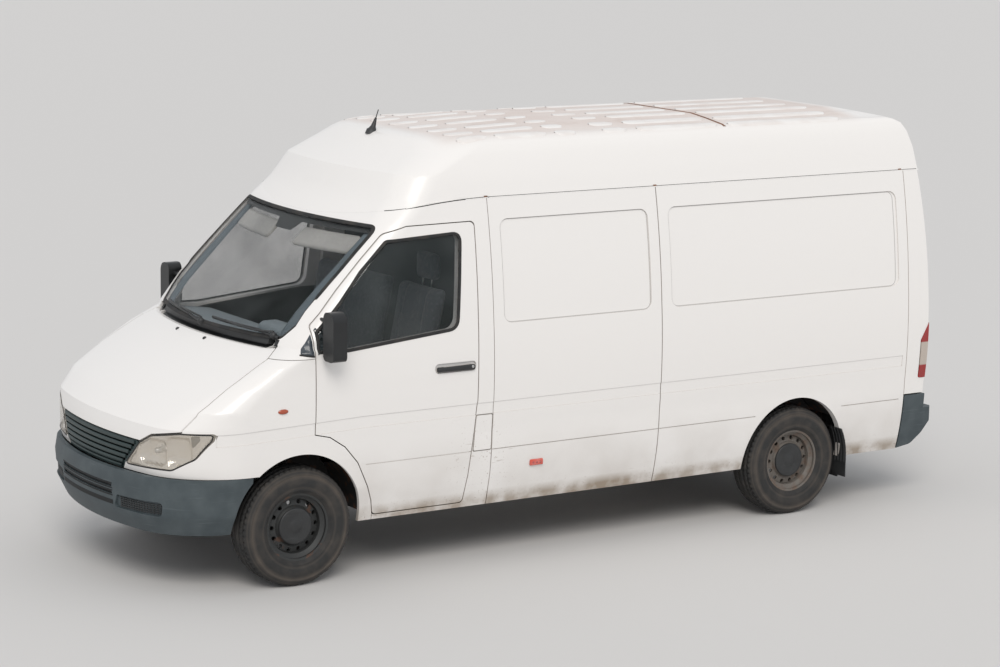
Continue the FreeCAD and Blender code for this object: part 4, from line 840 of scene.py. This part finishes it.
def make_bumper_details():
    grille = skin_of("grille")
    halves = [0.340 + (z - 0.674) * 0.83 for z in GRILLE_BARS]
    slats = [straight(grille, "front", (-half, z), (half, z)) for half, z in zip(halves, GRILLE_BARS)]
    open_strips("grille_slats", slats, 0.024, 0.007, "grille_plastic")
    bumper = skin_of("front_bumper")
    # Painted shade: dark strips along the slots widen them, and strips behind the slots darken what is seen
    # through them.
    bands = bmesh.new()
    for z, width in BUMPER_SLOT_SHADES:
        lay_strip(bands, straight(bumper, "front", (-0.335, z), (0.335, z)), False, width, 0.0012)
    for z in BUMPER_SLOTS:
        edges = [straight(bumper, "front", (-0.325, z + d), (0.325, z + d)) for d in (SLOT_HALF, -SLOT_HALF)]
        behind = [((above[0] + below[0]) / 2 - above[1] * 0.012, above[1]) for above, below in zip(*edges)]
        lay_strip(bands, behind, False, 0.030, 0.001)
    add_piece("bumper_slot_shades", bands, "slot_shade_black")
    for side, word in SIDES:
        slats = bmesh.new()
        for index in range(FOG_SLATS):
            z = 0.465 + 0.0125 * index
            outer = (side * (0.69 + 0.01 * (index > 2)), z + 0.004)
            lay_strip(slats, straight(bumper, "front", (side * 0.392, z), outer), False, 0.006, 0.007)
        for index in range(FOG_UPRIGHTS):
            y = side * (0.40 + 0.021 * index)
            lay_strip(slats, straight(bumper, "front", (y, 0.460), (y, 0.519)), False, 0.004, 0.0055)
        add_piece(f"fog_grid_{word}", slats, "black_plastic")


LOCK_RINGS = ((0.0085, -0.004), (0.0085, 0.0012), (0.007, 0.002), (0.003, 0.002), (0.0, 0.0012))
HANDLE_FEET = ((-1.095, "rear"), (-0.905, "front"))

# Dark corner ahead of the door window, on the door and on the pillar.
QUARTER_DOOR = (
    (-0.0835, 1.331, 0), (-0.118, 1.345, 0), (-0.118, 1.470, 0), (-0.107, 1.484, 0), (-0.0835, 1.458, 0),
)
QUARTER_PILLAR = ((0.000, 1.345, 0.004), (-0.0755, 1.333, 0), (-0.0755, 1.449, 0))
QUARTER_LIFT = 0.0022
MARKER_RINGS = ((0.007, 0.0), (0.006, 0.0018), (0.0, 0.0026))


def make_handle(side, word, body):
    """Door handle, thicker towards the rear end that holds the lock."""
    grip = soft_box(f"handle_{word}", ahead(-1.128, side * 0.957, 1.171), ahead(-0.872, side * 0.981, 1.197),
                    0.010, "black_plastic", body, 4)
    for vertex in grip.data.vertices:
        station = vertex.co.x - FRONT_AXLE
        vertex.co.z += 0.004 * math.cos((station + 1.0) * 9) - 0.004
        if station < -1.06:
            vertex.co.z += 0.0035 if vertex.co.z > 1.184 else -0.002
    for station, end in HANDLE_FEET:
        soft_box(f"handle_foot_{word}_{end}", ahead(station - 0.022, side * 0.944, 1.174),
                 ahead(station + 0.022, side * 0.960, 1.194), 0.005, "black_plastic", body)
    dome(f"lock_{word}", ahead(-1.108, side * 0.9805, 1.186), Vector((0, side, 0)), LOCK_RINGS,
         "bright_metal", body, 24)


def make_cab_outside():
    for side, word in SIDES:
        body = f"door_{word}"
        make_handle(side, word, body)
        door = skin_of(f"door_{word}", f"door_glass_{word}")
        inlay(f"quarter_door_{word}", door, word, QUARTER_DOOR, QUARTER_LIFT, "quarter_gloss", body)
        pillar = skin_of("cab_frame", f"wing_{word}")
        inlay(f"quarter_pillar_{word}", pillar, word, QUARTER_PILLAR, QUARTER_LIFT, "quarter_gloss")
        foot = straight(pillar, word, (0.006, 1.341), (-0.0755, 1.330), 0.01)
        ribbon(f"quarter_seal_{word}", foot, False, 0.012, 0.003, "seal_rubber")
        low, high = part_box(f"mirror_{word}")
        outer = max(abs(low[1]), abs(high[1])) - 0.012
        outline = rounded_path(((0.995, 1.325, 0.022), (outer, 1.325, 0.022), (outer, 1.572, 0.040),
                                (0.995, 1.572, 0.030)), step=0.01)
        flat_plate(f"mirror_glass_{word}", [(low[0] - 0.0015, side * point.x, point.y) for point in outline],
                   0.002, "mirror_face", body)
    soft_box("side_marker", ahead(-1.633, 0.929, 0.5405), ahead(-1.541, 0.9445, 0.5775), 0.006, "red_marker")
    for index in range(3):
        dome(f"marker_dot_{index}", ahead(-1.612 + 0.025 * index, 0.944, 0.559), Vector((0, 1, 0)),
             MARKER_RINGS, "red_lens", count=20)
    soft_box("side_marker_right", ahead(-1.633, -0.9445, 0.5405), ahead(-1.541, -0.929, 0.5775), 0.006,
             "red_marker")


# Wipers lie on the screen: arm and blade as (y, height over the low edge) along the glass.
WIPERS = (
    ("wiper_left", ((0.700, 1.428), (0.560, 1.420), (0.420, 1.424), (0.300, 1.432)),
     ((0.745, 1.408), (0.560, 1.432), (0.320, 1.436), (0.120, 1.440))),
    ("wiper_right", ((0.040, 1.418), (-0.140, 1.426), (-0.300, 1.430)),
     ((0.050, 1.404), (-0.140, 1.420), (-0.380, 1.426), (-0.600, 1.430))),
)


# Outlines behind the windscreen, the last two for the left side.
SCREEN_BAND = (
    (-0.780, 1.980, 0), (-0.140, 1.976, 0.02), (-0.095, 1.925, 0.02), (0.095, 1.925, 0.02),
    (0.140, 1.976, 0.02), (0.780, 1.980, 0), (0.770, 2.006, 0.03), (-0.770, 2.006, 0.03),
)
VISOR = ((0.150, 1.878, 0.025), (0.690, 1.884, 0.025), (0.700, 1.972, 0.025), (0.160, 1.968, 0.025))
PILLAR_TRIM = (
    (0.700, 1.420, 0.010), (0.776, 1.430, 0), (0.786, 1.500, 0), (0.780, 1.800, 0),
    (0.768, 1.990, 0.010), (0.715, 1.985, 0.010), (0.700, 1.700, 0),
)
BOSS_RINGS = ((0.020, -0.004), (0.020, 0.016), (0.014, 0.026), (0.0, 0.029))
WASHER_RINGS = ((0.012, -0.003), (0.012, 0.003), (0.008, 0.007), (0.0, 0.008))


def make_wipers():
    both = skin_of("windscreen", "cowl")
    for name, arm, blade in WIPERS:
        rubber = bmesh.new()
        line = [(place + normal * 0.004, normal) for start, end in zip(blade, blade[1:])
                for place, normal in straight(both, "front", start, end)]
        lay_strip(rubber, line, False, 0.016, 0.012)
        add_piece(f"{name}_blade", rubber, "black_plastic")
        points = [place + normal * 0.024 for place, normal in hits_of(both, "front", arm)]
        tube(f"{name}_arm", points, 0.006, "black_plastic")
        place, normal = on_skin(both, "front", arm[0][0], arm[0][1] - 0.012)
        dome(f"{name}_boss", place, normal, BOSS_RINGS, "black_plastic", count=24)


def make_screen_details():
    make_wipers()
    screen = skin_of("windscreen")
    inlay("screen_band", screen, "front", SCREEN_BAND, -0.012, "black_plastic", skirt=0)
    for side, word in SIDES:
        inlay(f"visor_{word}", screen, "front", mirrored(VISOR, side), -0.035, "visor_cloth", skirt=0.018)
        inlay(f"pillar_trim_{word}", screen, "front", mirrored(PILLAR_TRIM, side), -0.022, "blue_trim",
              skirt=0.02)
    bonnet = skin_of("bonnet")
    for side, word in reversed(SIDES):
        place, normal = on_skin(bonnet, "top", 0.222, side * 0.177)
        dome(f"washer_{word}", place, normal, WASHER_RINGS, "black_plastic", "bonnet", 20)


REAR_HINGES = (("low", 0.86), ("middle", 1.34), ("top", 2.03))


def make_rear_details():
    for side, word in SIDES:
        for level, height in REAR_HINGES:
            hinge = [ahead(-4.608, side * 0.781, height + d) for d in (-0.045, -0.015, 0.015, 0.045)]
            tube(f"rear_hinge_{word}_{level}", hinge, 0.010, "body_paint", "root", 14)
    left = skin_of("rear_door_left")
    right = skin_of("rear_door_right")
    x = on_skin(left, "rear", 0.085, 1.345)[0].x
    soft_box("rear_handle", (x - 0.030, 0.030, 1.318), (x + 0.002, 0.160, 1.372), 0.010, "black_plastic",
             "rear_door_left", 4)
    x = on_skin(right, "rear", -0.38, 0.90)[0].x
    soft_box("plate_blank", (x - 0.010, -0.640, 0.845), (x + 0.004, -0.120, 0.955), 0.004, "pale_trim",
             "rear_door_right")
    soft_box("plate_lamp", (x - 0.034, -0.470, 0.975), (x + 0.004, -0.290, 1.005), 0.008, "black_plastic",
             "rear_door_right")
    seal = hits_of(left, "rear", [(0.012, 0.64 + 0.03 * i) for i in range(56)])
    ribbon("rear_middle_seal", seal, False, 0.014, 0.002, "seal_rubber", "rear_door_left")


# Rubber flap behind the rear wheel: levels and the inner edge at each.
FLAP_ROWS = ((0.525, 0.830), (0.485, 0.820), (0.445, 0.810), (0.405, 0.800), (0.360, 0.790), (0.300, 0.785),
             (0.255, 0.800), (0.205, 0.860))
FLAP_OUTER = 0.956
FLAP_REACH = 0.402
FLAP_THICKNESS = 0.006


FLAP_RIBS = (0.012, 0.042, 0.072, 0.102)


def flap_station(z):
    """Where the flap hangs: round the wheel above the axle's height, straight down below it."""
    return REAR_AXLE - math.sqrt(FLAP_REACH ** 2 - max(0.0, z - WHEEL_RADIUS) ** 2)


def make_flaps():
    for side, word in SIDES:
        sheet = bmesh.new()
        rows = []
        for z, inner in FLAP_ROWS:
            steps = [inner + (FLAP_OUTER - inner) * k / 4 for k in range(5)]
            rows.append([sheet.verts.new((flap_station(z), side * y, z)) for y in steps])
        join_rows(sheet, rows)
        bmesh.ops.recalc_face_normals(sheet, faces=sheet.faces)
        bmesh.ops.solidify(sheet, geom=sheet.faces[:], thickness=FLAP_THICKNESS)
        add_piece(f"flap_{word}", sheet, "black_plastic", smooth=False)
        faces = [flap_station(z) + FLAP_THICKNESS for z, inner in FLAP_ROWS[:-2]]
        ribs = [[(Vector((x, side * (FLAP_OUTER - offset), z)), Vector((1, 0, 0)))
                 for x, (z, inner) in zip(faces, FLAP_ROWS)] for offset in FLAP_RIBS]
        open_strips(f"flap_ribs_{word}", ribs, 0.010, 0.005, "black_plastic")


AERIAL_FOOT = Vector((FRONT_AXLE - 0.957, 0, 2.390))
AERIAL_LEAN = Vector((-0.35, 0, 1)).normalized()


def make_aerial_foot():
    """Tapered rubber foot where the aerial leaves the roof."""
    hit = skin_of("roof").ray_cast(AERIAL_FOOT + AERIAL_LEAN * 0.6, -AERIAL_LEAN)[0]
    dome("aerial_foot", hit, AERIAL_LEAN,
         ((0.036, -0.024), (0.033, 0.004), (0.024, 0.012), (0.015, 0.030), (0.010, 0.060), (0.006, 0.082),
          (0.0, 0.083)), "black_plastic", count=32)


PAD_VOXEL = 0.012
PAD_CAP = 0.013
SIMULATED_FRAMES = 20


def puff(piece):
    """Cloth-simulated swelling of a pad, with each point's move capped."""
    start = [vertex.co.copy() for vertex in piece.data.vertices]
    cloth = piece.modifiers.new("swell", "CLOTH")
    cloth.settings.use_pressure = True
    cloth.settings.uniform_pressure_force = 4
    cloth.settings.effector_weights.gravity = 0
    cloth.point_cache.frame_start = 1
    cloth.point_cache.frame_end = SIMULATED_FRAMES
    scene = bpy.context.scene
    for step in range(1, SIMULATED_FRAMES + 1):
        scene.frame_set(step)
    swollen = piece.evaluated_get(bpy.context.evaluated_depsgraph_get())
    moved = [vertex.co.copy() for vertex in swollen.data.vertices]
    piece.modifiers.remove(cloth)
    scene.frame_set(1)
    for vertex, before, after in zip(piece.data.vertices, start, moved):
        move = after - before
        if move.length > PAD_CAP:
            move *= PAD_CAP / move.length
        vertex.co = before + move


def make_pad(name, low, high, round_by, lean, channels, fill):
    """Seat pad from a rounded box, leaned back by x per z, swollen, with sewn channels at given y."""
    shape = rounded_box(low, high, round_by, 4)
    for vertex in shape.verts:
        vertex.co.x += lean * (vertex.co.z - low[2])
        vertex.co.x += FRONT_AXLE
    piece = add_piece(name, shape, "seat_cloth")
    remesh = piece.modifiers.new("remesh", "REMESH")
    remesh.mode = "VOXEL"
    remesh.voxel_size = PAD_VOXEL
    even = piece.evaluated_get(bpy.context.evaluated_depsgraph_get())
    mesh = bpy.data.meshes.new_from_object(even)
    piece.modifiers.remove(remesh)
    piece.data = mesh
    puff(piece)
    lying = high[2] - low[2] < high[0] - low[0]
    for vertex in mesh.vertices:
        groove = sum(math.exp(-((vertex.co.y - y) / 0.008) ** 2) for y in channels)
        facing = max(0.0, vertex.normal.z if lying else vertex.normal.x)
        vertex.co -= vertex.normal * 0.010 * min(groove, 1.0) * facing
    for polygon in mesh.polygons:
        polygon.use_smooth = True
    subdivision = piece.modifiers.new("finer", "SUBSURF")
    subdivision.levels = 1
    subdivision.render_levels = 1
    return piece


BACK_LEAN = -0.205
DRIVER_SEAMS = (0.33, 0.57)
BENCH_SEAMS = (-0.35,)

# Pads of each seat, measured from the front axle: low and high corners, rounding, lean, seams and fill.
PADS = {
    "driver_seat": (
        ("driver_cushion", (-1.045, 0.205, 0.945), (-0.545, 0.695, 1.040), 0.035, 0, DRIVER_SEAMS, 0.75),
        ("driver_back", (-1.010, 0.215, 1.045), (-0.935, 0.685, 1.600), 0.030, BACK_LEAN, DRIVER_SEAMS, 0.75),
        ("driver_headrest", (-1.150, 0.345, 1.625), (-1.085, 0.555, 1.785), 0.028, 0, (), 0.8),
    ),
    "passenger_bench": (
        ("bench_cushion", (-1.045, -0.795, 0.945), (-0.545, 0.095, 1.040), 0.035, 0, BENCH_SEAMS, 0.75),
        ("bench_back", (-1.010, -0.785, 1.045), (-0.935, 0.085, 1.600), 0.030, BACK_LEAN, BENCH_SEAMS, 0.75),
    ),
}
SEAT_BASES = (("driver_seat", 0.21, 0.69), ("passenger_bench", -0.79, 0.09))
HEADREST_POSTS = (("inner", 0.40), ("outer", 0.50))
POST_STEPS = ((-1.108, 1.575), (-1.114, 1.610), (-1.117, 1.650))


def make_seats():
    pads = {node: [make_pad(*pad) for pad in rows] for node, rows in PADS.items()}
    for node, low_y, high_y in SEAT_BASES:
        base = soft_box(f"{node}_base", ahead(-0.995, low_y, 0.6405), ahead(-0.565, high_y, 0.942), 0.020,
                        "dark_trim")
        for piece in pads[node] + [base]:
            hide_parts(node)
    for word, y in HEADREST_POSTS:
        tube(f"headrest_post_{word}", [ahead(x, y, z) for x, z in POST_STEPS], 0.006, "bright_metal")


DOOR_TRIM = (
    (-0.150, 0.700, 0.03), (-1.150, 0.700, 0.05), (-1.180, 1.395, 0.03),
    (-0.980, 1.395, 0.02), (-0.300, 1.330, 0.02), (-0.190, 1.310, 0.03),
)
TRIM_AT = 0.888
AIR_VENTS = (-0.62, -0.08, 0.10, 0.70)


def make_cab_inside():
    for side, word in SIDES:
        body = f"door_{word}"
        outline = [ahead(point.x, side * TRIM_AT, point.y) for point in rounded_path(DOOR_TRIM)]
        trim = flat_plate(f"door_trim_{word}", outline, 0.010, "pale_trim", body)
        edge = trim.modifiers.new("edge", "BEVEL")
        edge.width = 0.004
        edge.segments = 2
        near, far = sorted((side * 0.845, side * 0.886))
        soft_box(f"armrest_{word}", ahead(-0.900, near, 1.070), ahead(-0.420, far, 1.120), 0.015, "dark_trim",
                 body)
    soft_box("instrument_hood", ahead(-0.238, 0.220, 1.270), ahead(-0.085, 0.640, 1.425), 0.045, "dash_cover",
             "root", 5)
    facing = Vector((-1, 0, 0.1)).normalized()
    for index, y in enumerate(AIR_VENTS):
        slats = [[(ahead(-0.3255 + 0.0009 * level, y + d, 1.175 + 0.016 * level), facing)
                  for d in (-0.05, 0.0, 0.05)] for level in range(4)]
        open_strips(f"air_vent_{index}", slats, 0.005, 0.004, "black_plastic")


DASH_REAR = -0.300
DASH_FOOT = 1.265
DASH_HALF = 0.745
DASH_STEPS = 24


def make_dash_top():
    """Padded top of the dashboard, from the foot of the windscreen back, with a rolled rear edge."""
    screen = skin_of("windscreen")
    pad = bmesh.new()
    rows = []
    for index in range(DASH_STEPS + 1):
        y = DASH_HALF * (2 * index / DASH_STEPS - 1)
        front = on_skin(screen, "front", y, 1.425)[0].x - 0.045
        rear = FRONT_AXLE + DASH_REAR
        section = [(front, 1.300), (front, 1.362), (front - 0.03, 1.372)]
        section += [(front + (rear + 0.05 - front) * t, 1.372 - 0.030 * t) for t in (0.3, 0.6, 1.0)]
        section += [(rear + 0.022, 1.336), (rear + 0.006, 1.322), (rear, 1.300), (rear + 0.006, DASH_FOOT)]
        rows.append([pad.verts.new((x, y, z)) for x, z in section])
    join_rows(pad, rows, round_about=True)
    pad.faces.new(rows[0])
    pad.faces.new(rows[-1][::-1])
    add_piece("dash_top", pad, "dash_cover")


# Ribs of the load space walls, measured from the front axle: station and foot.
LOAD_RIBS = ((-1.62, 0.70), (-2.04, 0.70), (-2.46, 0.70), (-2.90, 0.70), (-3.75, 0.86), (-4.20, 0.70))
RIB_TOP = 2.08
RIB_STEPS = 35


def make_load_space():
    for side, word in SIDES:
        wall = skin_of(*FLANKS[word])
        ribs = []
        for station, foot in LOAD_RIBS:
            line = []
            for index in range(RIB_STEPS + 1):
                start = ahead(station, side * 0.30, foot + (RIB_TOP - foot) * index / RIB_STEPS)
                place = wall.ray_cast(start, Vector((0, side, 0)))[0]
                if place is not None:
                    line.append((place, Vector((0, -side, 0))))
            if len(line) > 2:
                ribs.append(line)
        open_strips(f"load_ribs_{word}", ribs, 0.070, 0.022, "body_paint", 0.001)


# Tyres: (radius, half offset) from the bead to the middle of the tread.
SIDEWALL = (
    (0.1945, 0.086), (0.204, 0.0925), (0.211, 0.098), (0.2165, 0.1035), (0.2195, 0.1045), (0.222, 0.1035),
    (0.235, 0.1085), (0.255, 0.1115), (0.272, 0.1122), (0.276, 0.1112), (0.292, 0.1100), (0.305, 0.1062),
    (0.3065, 0.1075), (0.310, 0.1060), (0.320, 0.0995), (0.329, 0.0925), (0.3375, 0.0815),
)
TREAD_EDGES = (0.080, 0.0665, 0.0655, 0.058, 0.057, 0.0285, 0.0275, 0.020, 0.019, 0.0)
TREAD_GROOVES = ((0.058, 0.0655), (0.020, 0.0275))
TREAD_PITCHES = 60
STEPS_PER_PITCH = 5
GROOVE_DEPTH = 0.008


def tread_radius(offset, step):
    """Tread surface at a distance from the middle, at one step round the tyre."""
    crown = WHEEL_RADIUS - 0.0055 * (abs(offset) / 0.08) ** 2.5
    if any(low - 1e-4 <= abs(offset) <= high + 1e-4 for low, high in TREAD_GROOVES):
        return crown - GROOVE_DEPTH
    phase = (step + (2 if offset > 0 else 0)) % STEPS_PER_PITCH
    if abs(offset) > 0.0655 and phase == 0:
        return crown - GROOVE_DEPTH * 0.8
    if 0.0275 < abs(offset) < 0.058 and phase == 2:
        return crown - GROOVE_DEPTH * 0.5
    return crown


def make_tyre(name, axle, side, body, node):
    centre = Vector((axle, side * HALF_TRACK, WHEEL_RADIUS))
    count = TREAD_PITCHES * STEPS_PER_PITCH
    offsets = [half for radius, half in SIDEWALL] + list(TREAD_EDGES)
    signed = [(offset, True) for offset in offsets] + [(-offset, False) for offset in reversed(offsets[:-1])]
    tyre = bmesh.new()
    rows = []
    for step in range(count):
        angle = 2 * math.pi * step / count
        row = []
        for index, (offset, near) in enumerate(signed):
            k = index if near else len(signed) - 1 - index
            radius = SIDEWALL[k][0] if k < len(SIDEWALL) else tread_radius(offset, step)
            row.append(tyre.verts.new(centre + Vector((radius * math.cos(angle), offset,
                                                      radius * math.sin(angle)))))
        rows.append(row)
    join_rows(tyre, rows, closed=True)
    piece = add_piece(name, tyre, "tyre_front" if axle == FRONT_AXLE else "tyre_rear", body)
    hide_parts(node)


CAP_RINGS = ((0.1065, -0.006), (0.1065, 0.002), (0.103, 0.006), (0.094, 0.0075), (0.070, 0.006),
             (0.040, 0.0035), (0.034, 0.0065), (0.028, 0.0085), (0.012, 0.009), (0.0, 0.009))


def make_wheels():
    for axle, end in ((FRONT_AXLE, "front"), (REAR_AXLE, "rear")):
        for side, word in SIDES:
            name = f"{end}_{word}"
            make_tyre(f"tread_{name}", axle, side, f"wheel_{name}", f"tyre_{name}")
            face = Vector((axle, side * (HALF_TRACK + 0.058), WHEEL_RADIUS))
            dome(f"cap_{name}", face, Vector((0, side, 0)), CAP_RINGS, "black_plastic", f"wheel_{name}")


# Light, floor and camera.
CAMERA_PLACE = (9.1438, 14.3051, 4.2038)
CAMERA_YAW = -2.14091
CAMERA_PITCH = 0.177457
CAMERA_ROLL = 0.0157954
CAMERA_LENS = 99.449
SENSOR = 36.0


def make_camera():
    yaw, pitch, roll = CAMERA_YAW, CAMERA_PITCH, CAMERA_ROLL
    sight = Vector((math.cos(yaw) * math.cos(pitch), math.sin(yaw) * math.cos(pitch), -math.sin(pitch)))
    level = Vector((math.sin(yaw), -math.cos(yaw), 0))
    upright = level.cross(sight)
    across = math.cos(roll) * level + math.sin(roll) * upright
    up = -math.sin(roll) * level + math.cos(roll) * upright
    turn = Matrix((across, up, -sight)).transposed()
    lens = bpy.data.cameras.new("camera")
    lens.lens = CAMERA_LENS
    lens.sensor_width = SENSOR
    lens.clip_end = 200
    camera = put_in_scene("camera", lens)
    camera.matrix_world = Matrix.Translation(CAMERA_PLACE) @ turn.to_4x4()
    bpy.context.scene.camera = camera


PALE = (0.80, 0.80, 0.79)
SKY = (0.95, 0.97, 1.0)
FLOOR_REACH = 60


def make_studio():
    world = bpy.data.worlds.new("studio")
    world.use_nodes = True
    tree = world.node_tree
    light = tree.nodes["Background"]
    light.inputs["Color"].default_value = (*SKY, 1)
    light.inputs["Strength"].default_value = 0.72
    seen = tree.nodes.new("ShaderNodeBackground")
    seen.inputs["Color"].default_value = (*PALE, 1)
    path = tree.nodes.new("ShaderNodeLightPath")
    choose = tree.nodes.new("ShaderNodeMixShader")
    connect(path.outputs["Is Camera Ray"], choose.inputs["Fac"])
    connect(light.outputs["Background"], choose.inputs[1])
    connect(seen.outputs["Background"], choose.inputs[2])
    connect(choose.outputs["Shader"], tree.nodes["World Output"].inputs["Surface"])
    bpy.context.scene.world = world

    ground = bpy.data.meshes.new("floor")
    corners = [(FLOOR_REACH * a, FLOOR_REACH * b, 0) for a, b in ((-1, -1), (1, -1), (1, 1), (-1, 1))]
    ground.from_pydata(corners, [], [range(4)])
    ground.materials.append(make_plain("floor", (0.62, 0.61, 0.60), 0.9))
    floor = put_in_scene("floor", ground)

    sun = bpy.data.lights.new("sun", "SUN")
    sun.energy = 1.5
    sun.angle = math.radians(30)
    sun.color = (1.0, 0.96, 0.91)
    lamp = put_in_scene("sun", sun)
    lamp.rotation_euler = Vector((-0.35, -0.62, -0.70)).to_track_quat("-Z", "Y").to_euler()
    bpy.context.scene.view_settings.view_transform = "Standard"


dress_nodes()
make_glazing()
make_wheels()
make_roof_details()
make_lamps()
make_bumper_details()
make_cab_outside()
make_screen_details()
make_rear_details()
make_flaps()
make_aerial_foot()
make_cab_inside()
make_dash_top()
make_load_space()
make_seats()
make_camera()
make_studio()
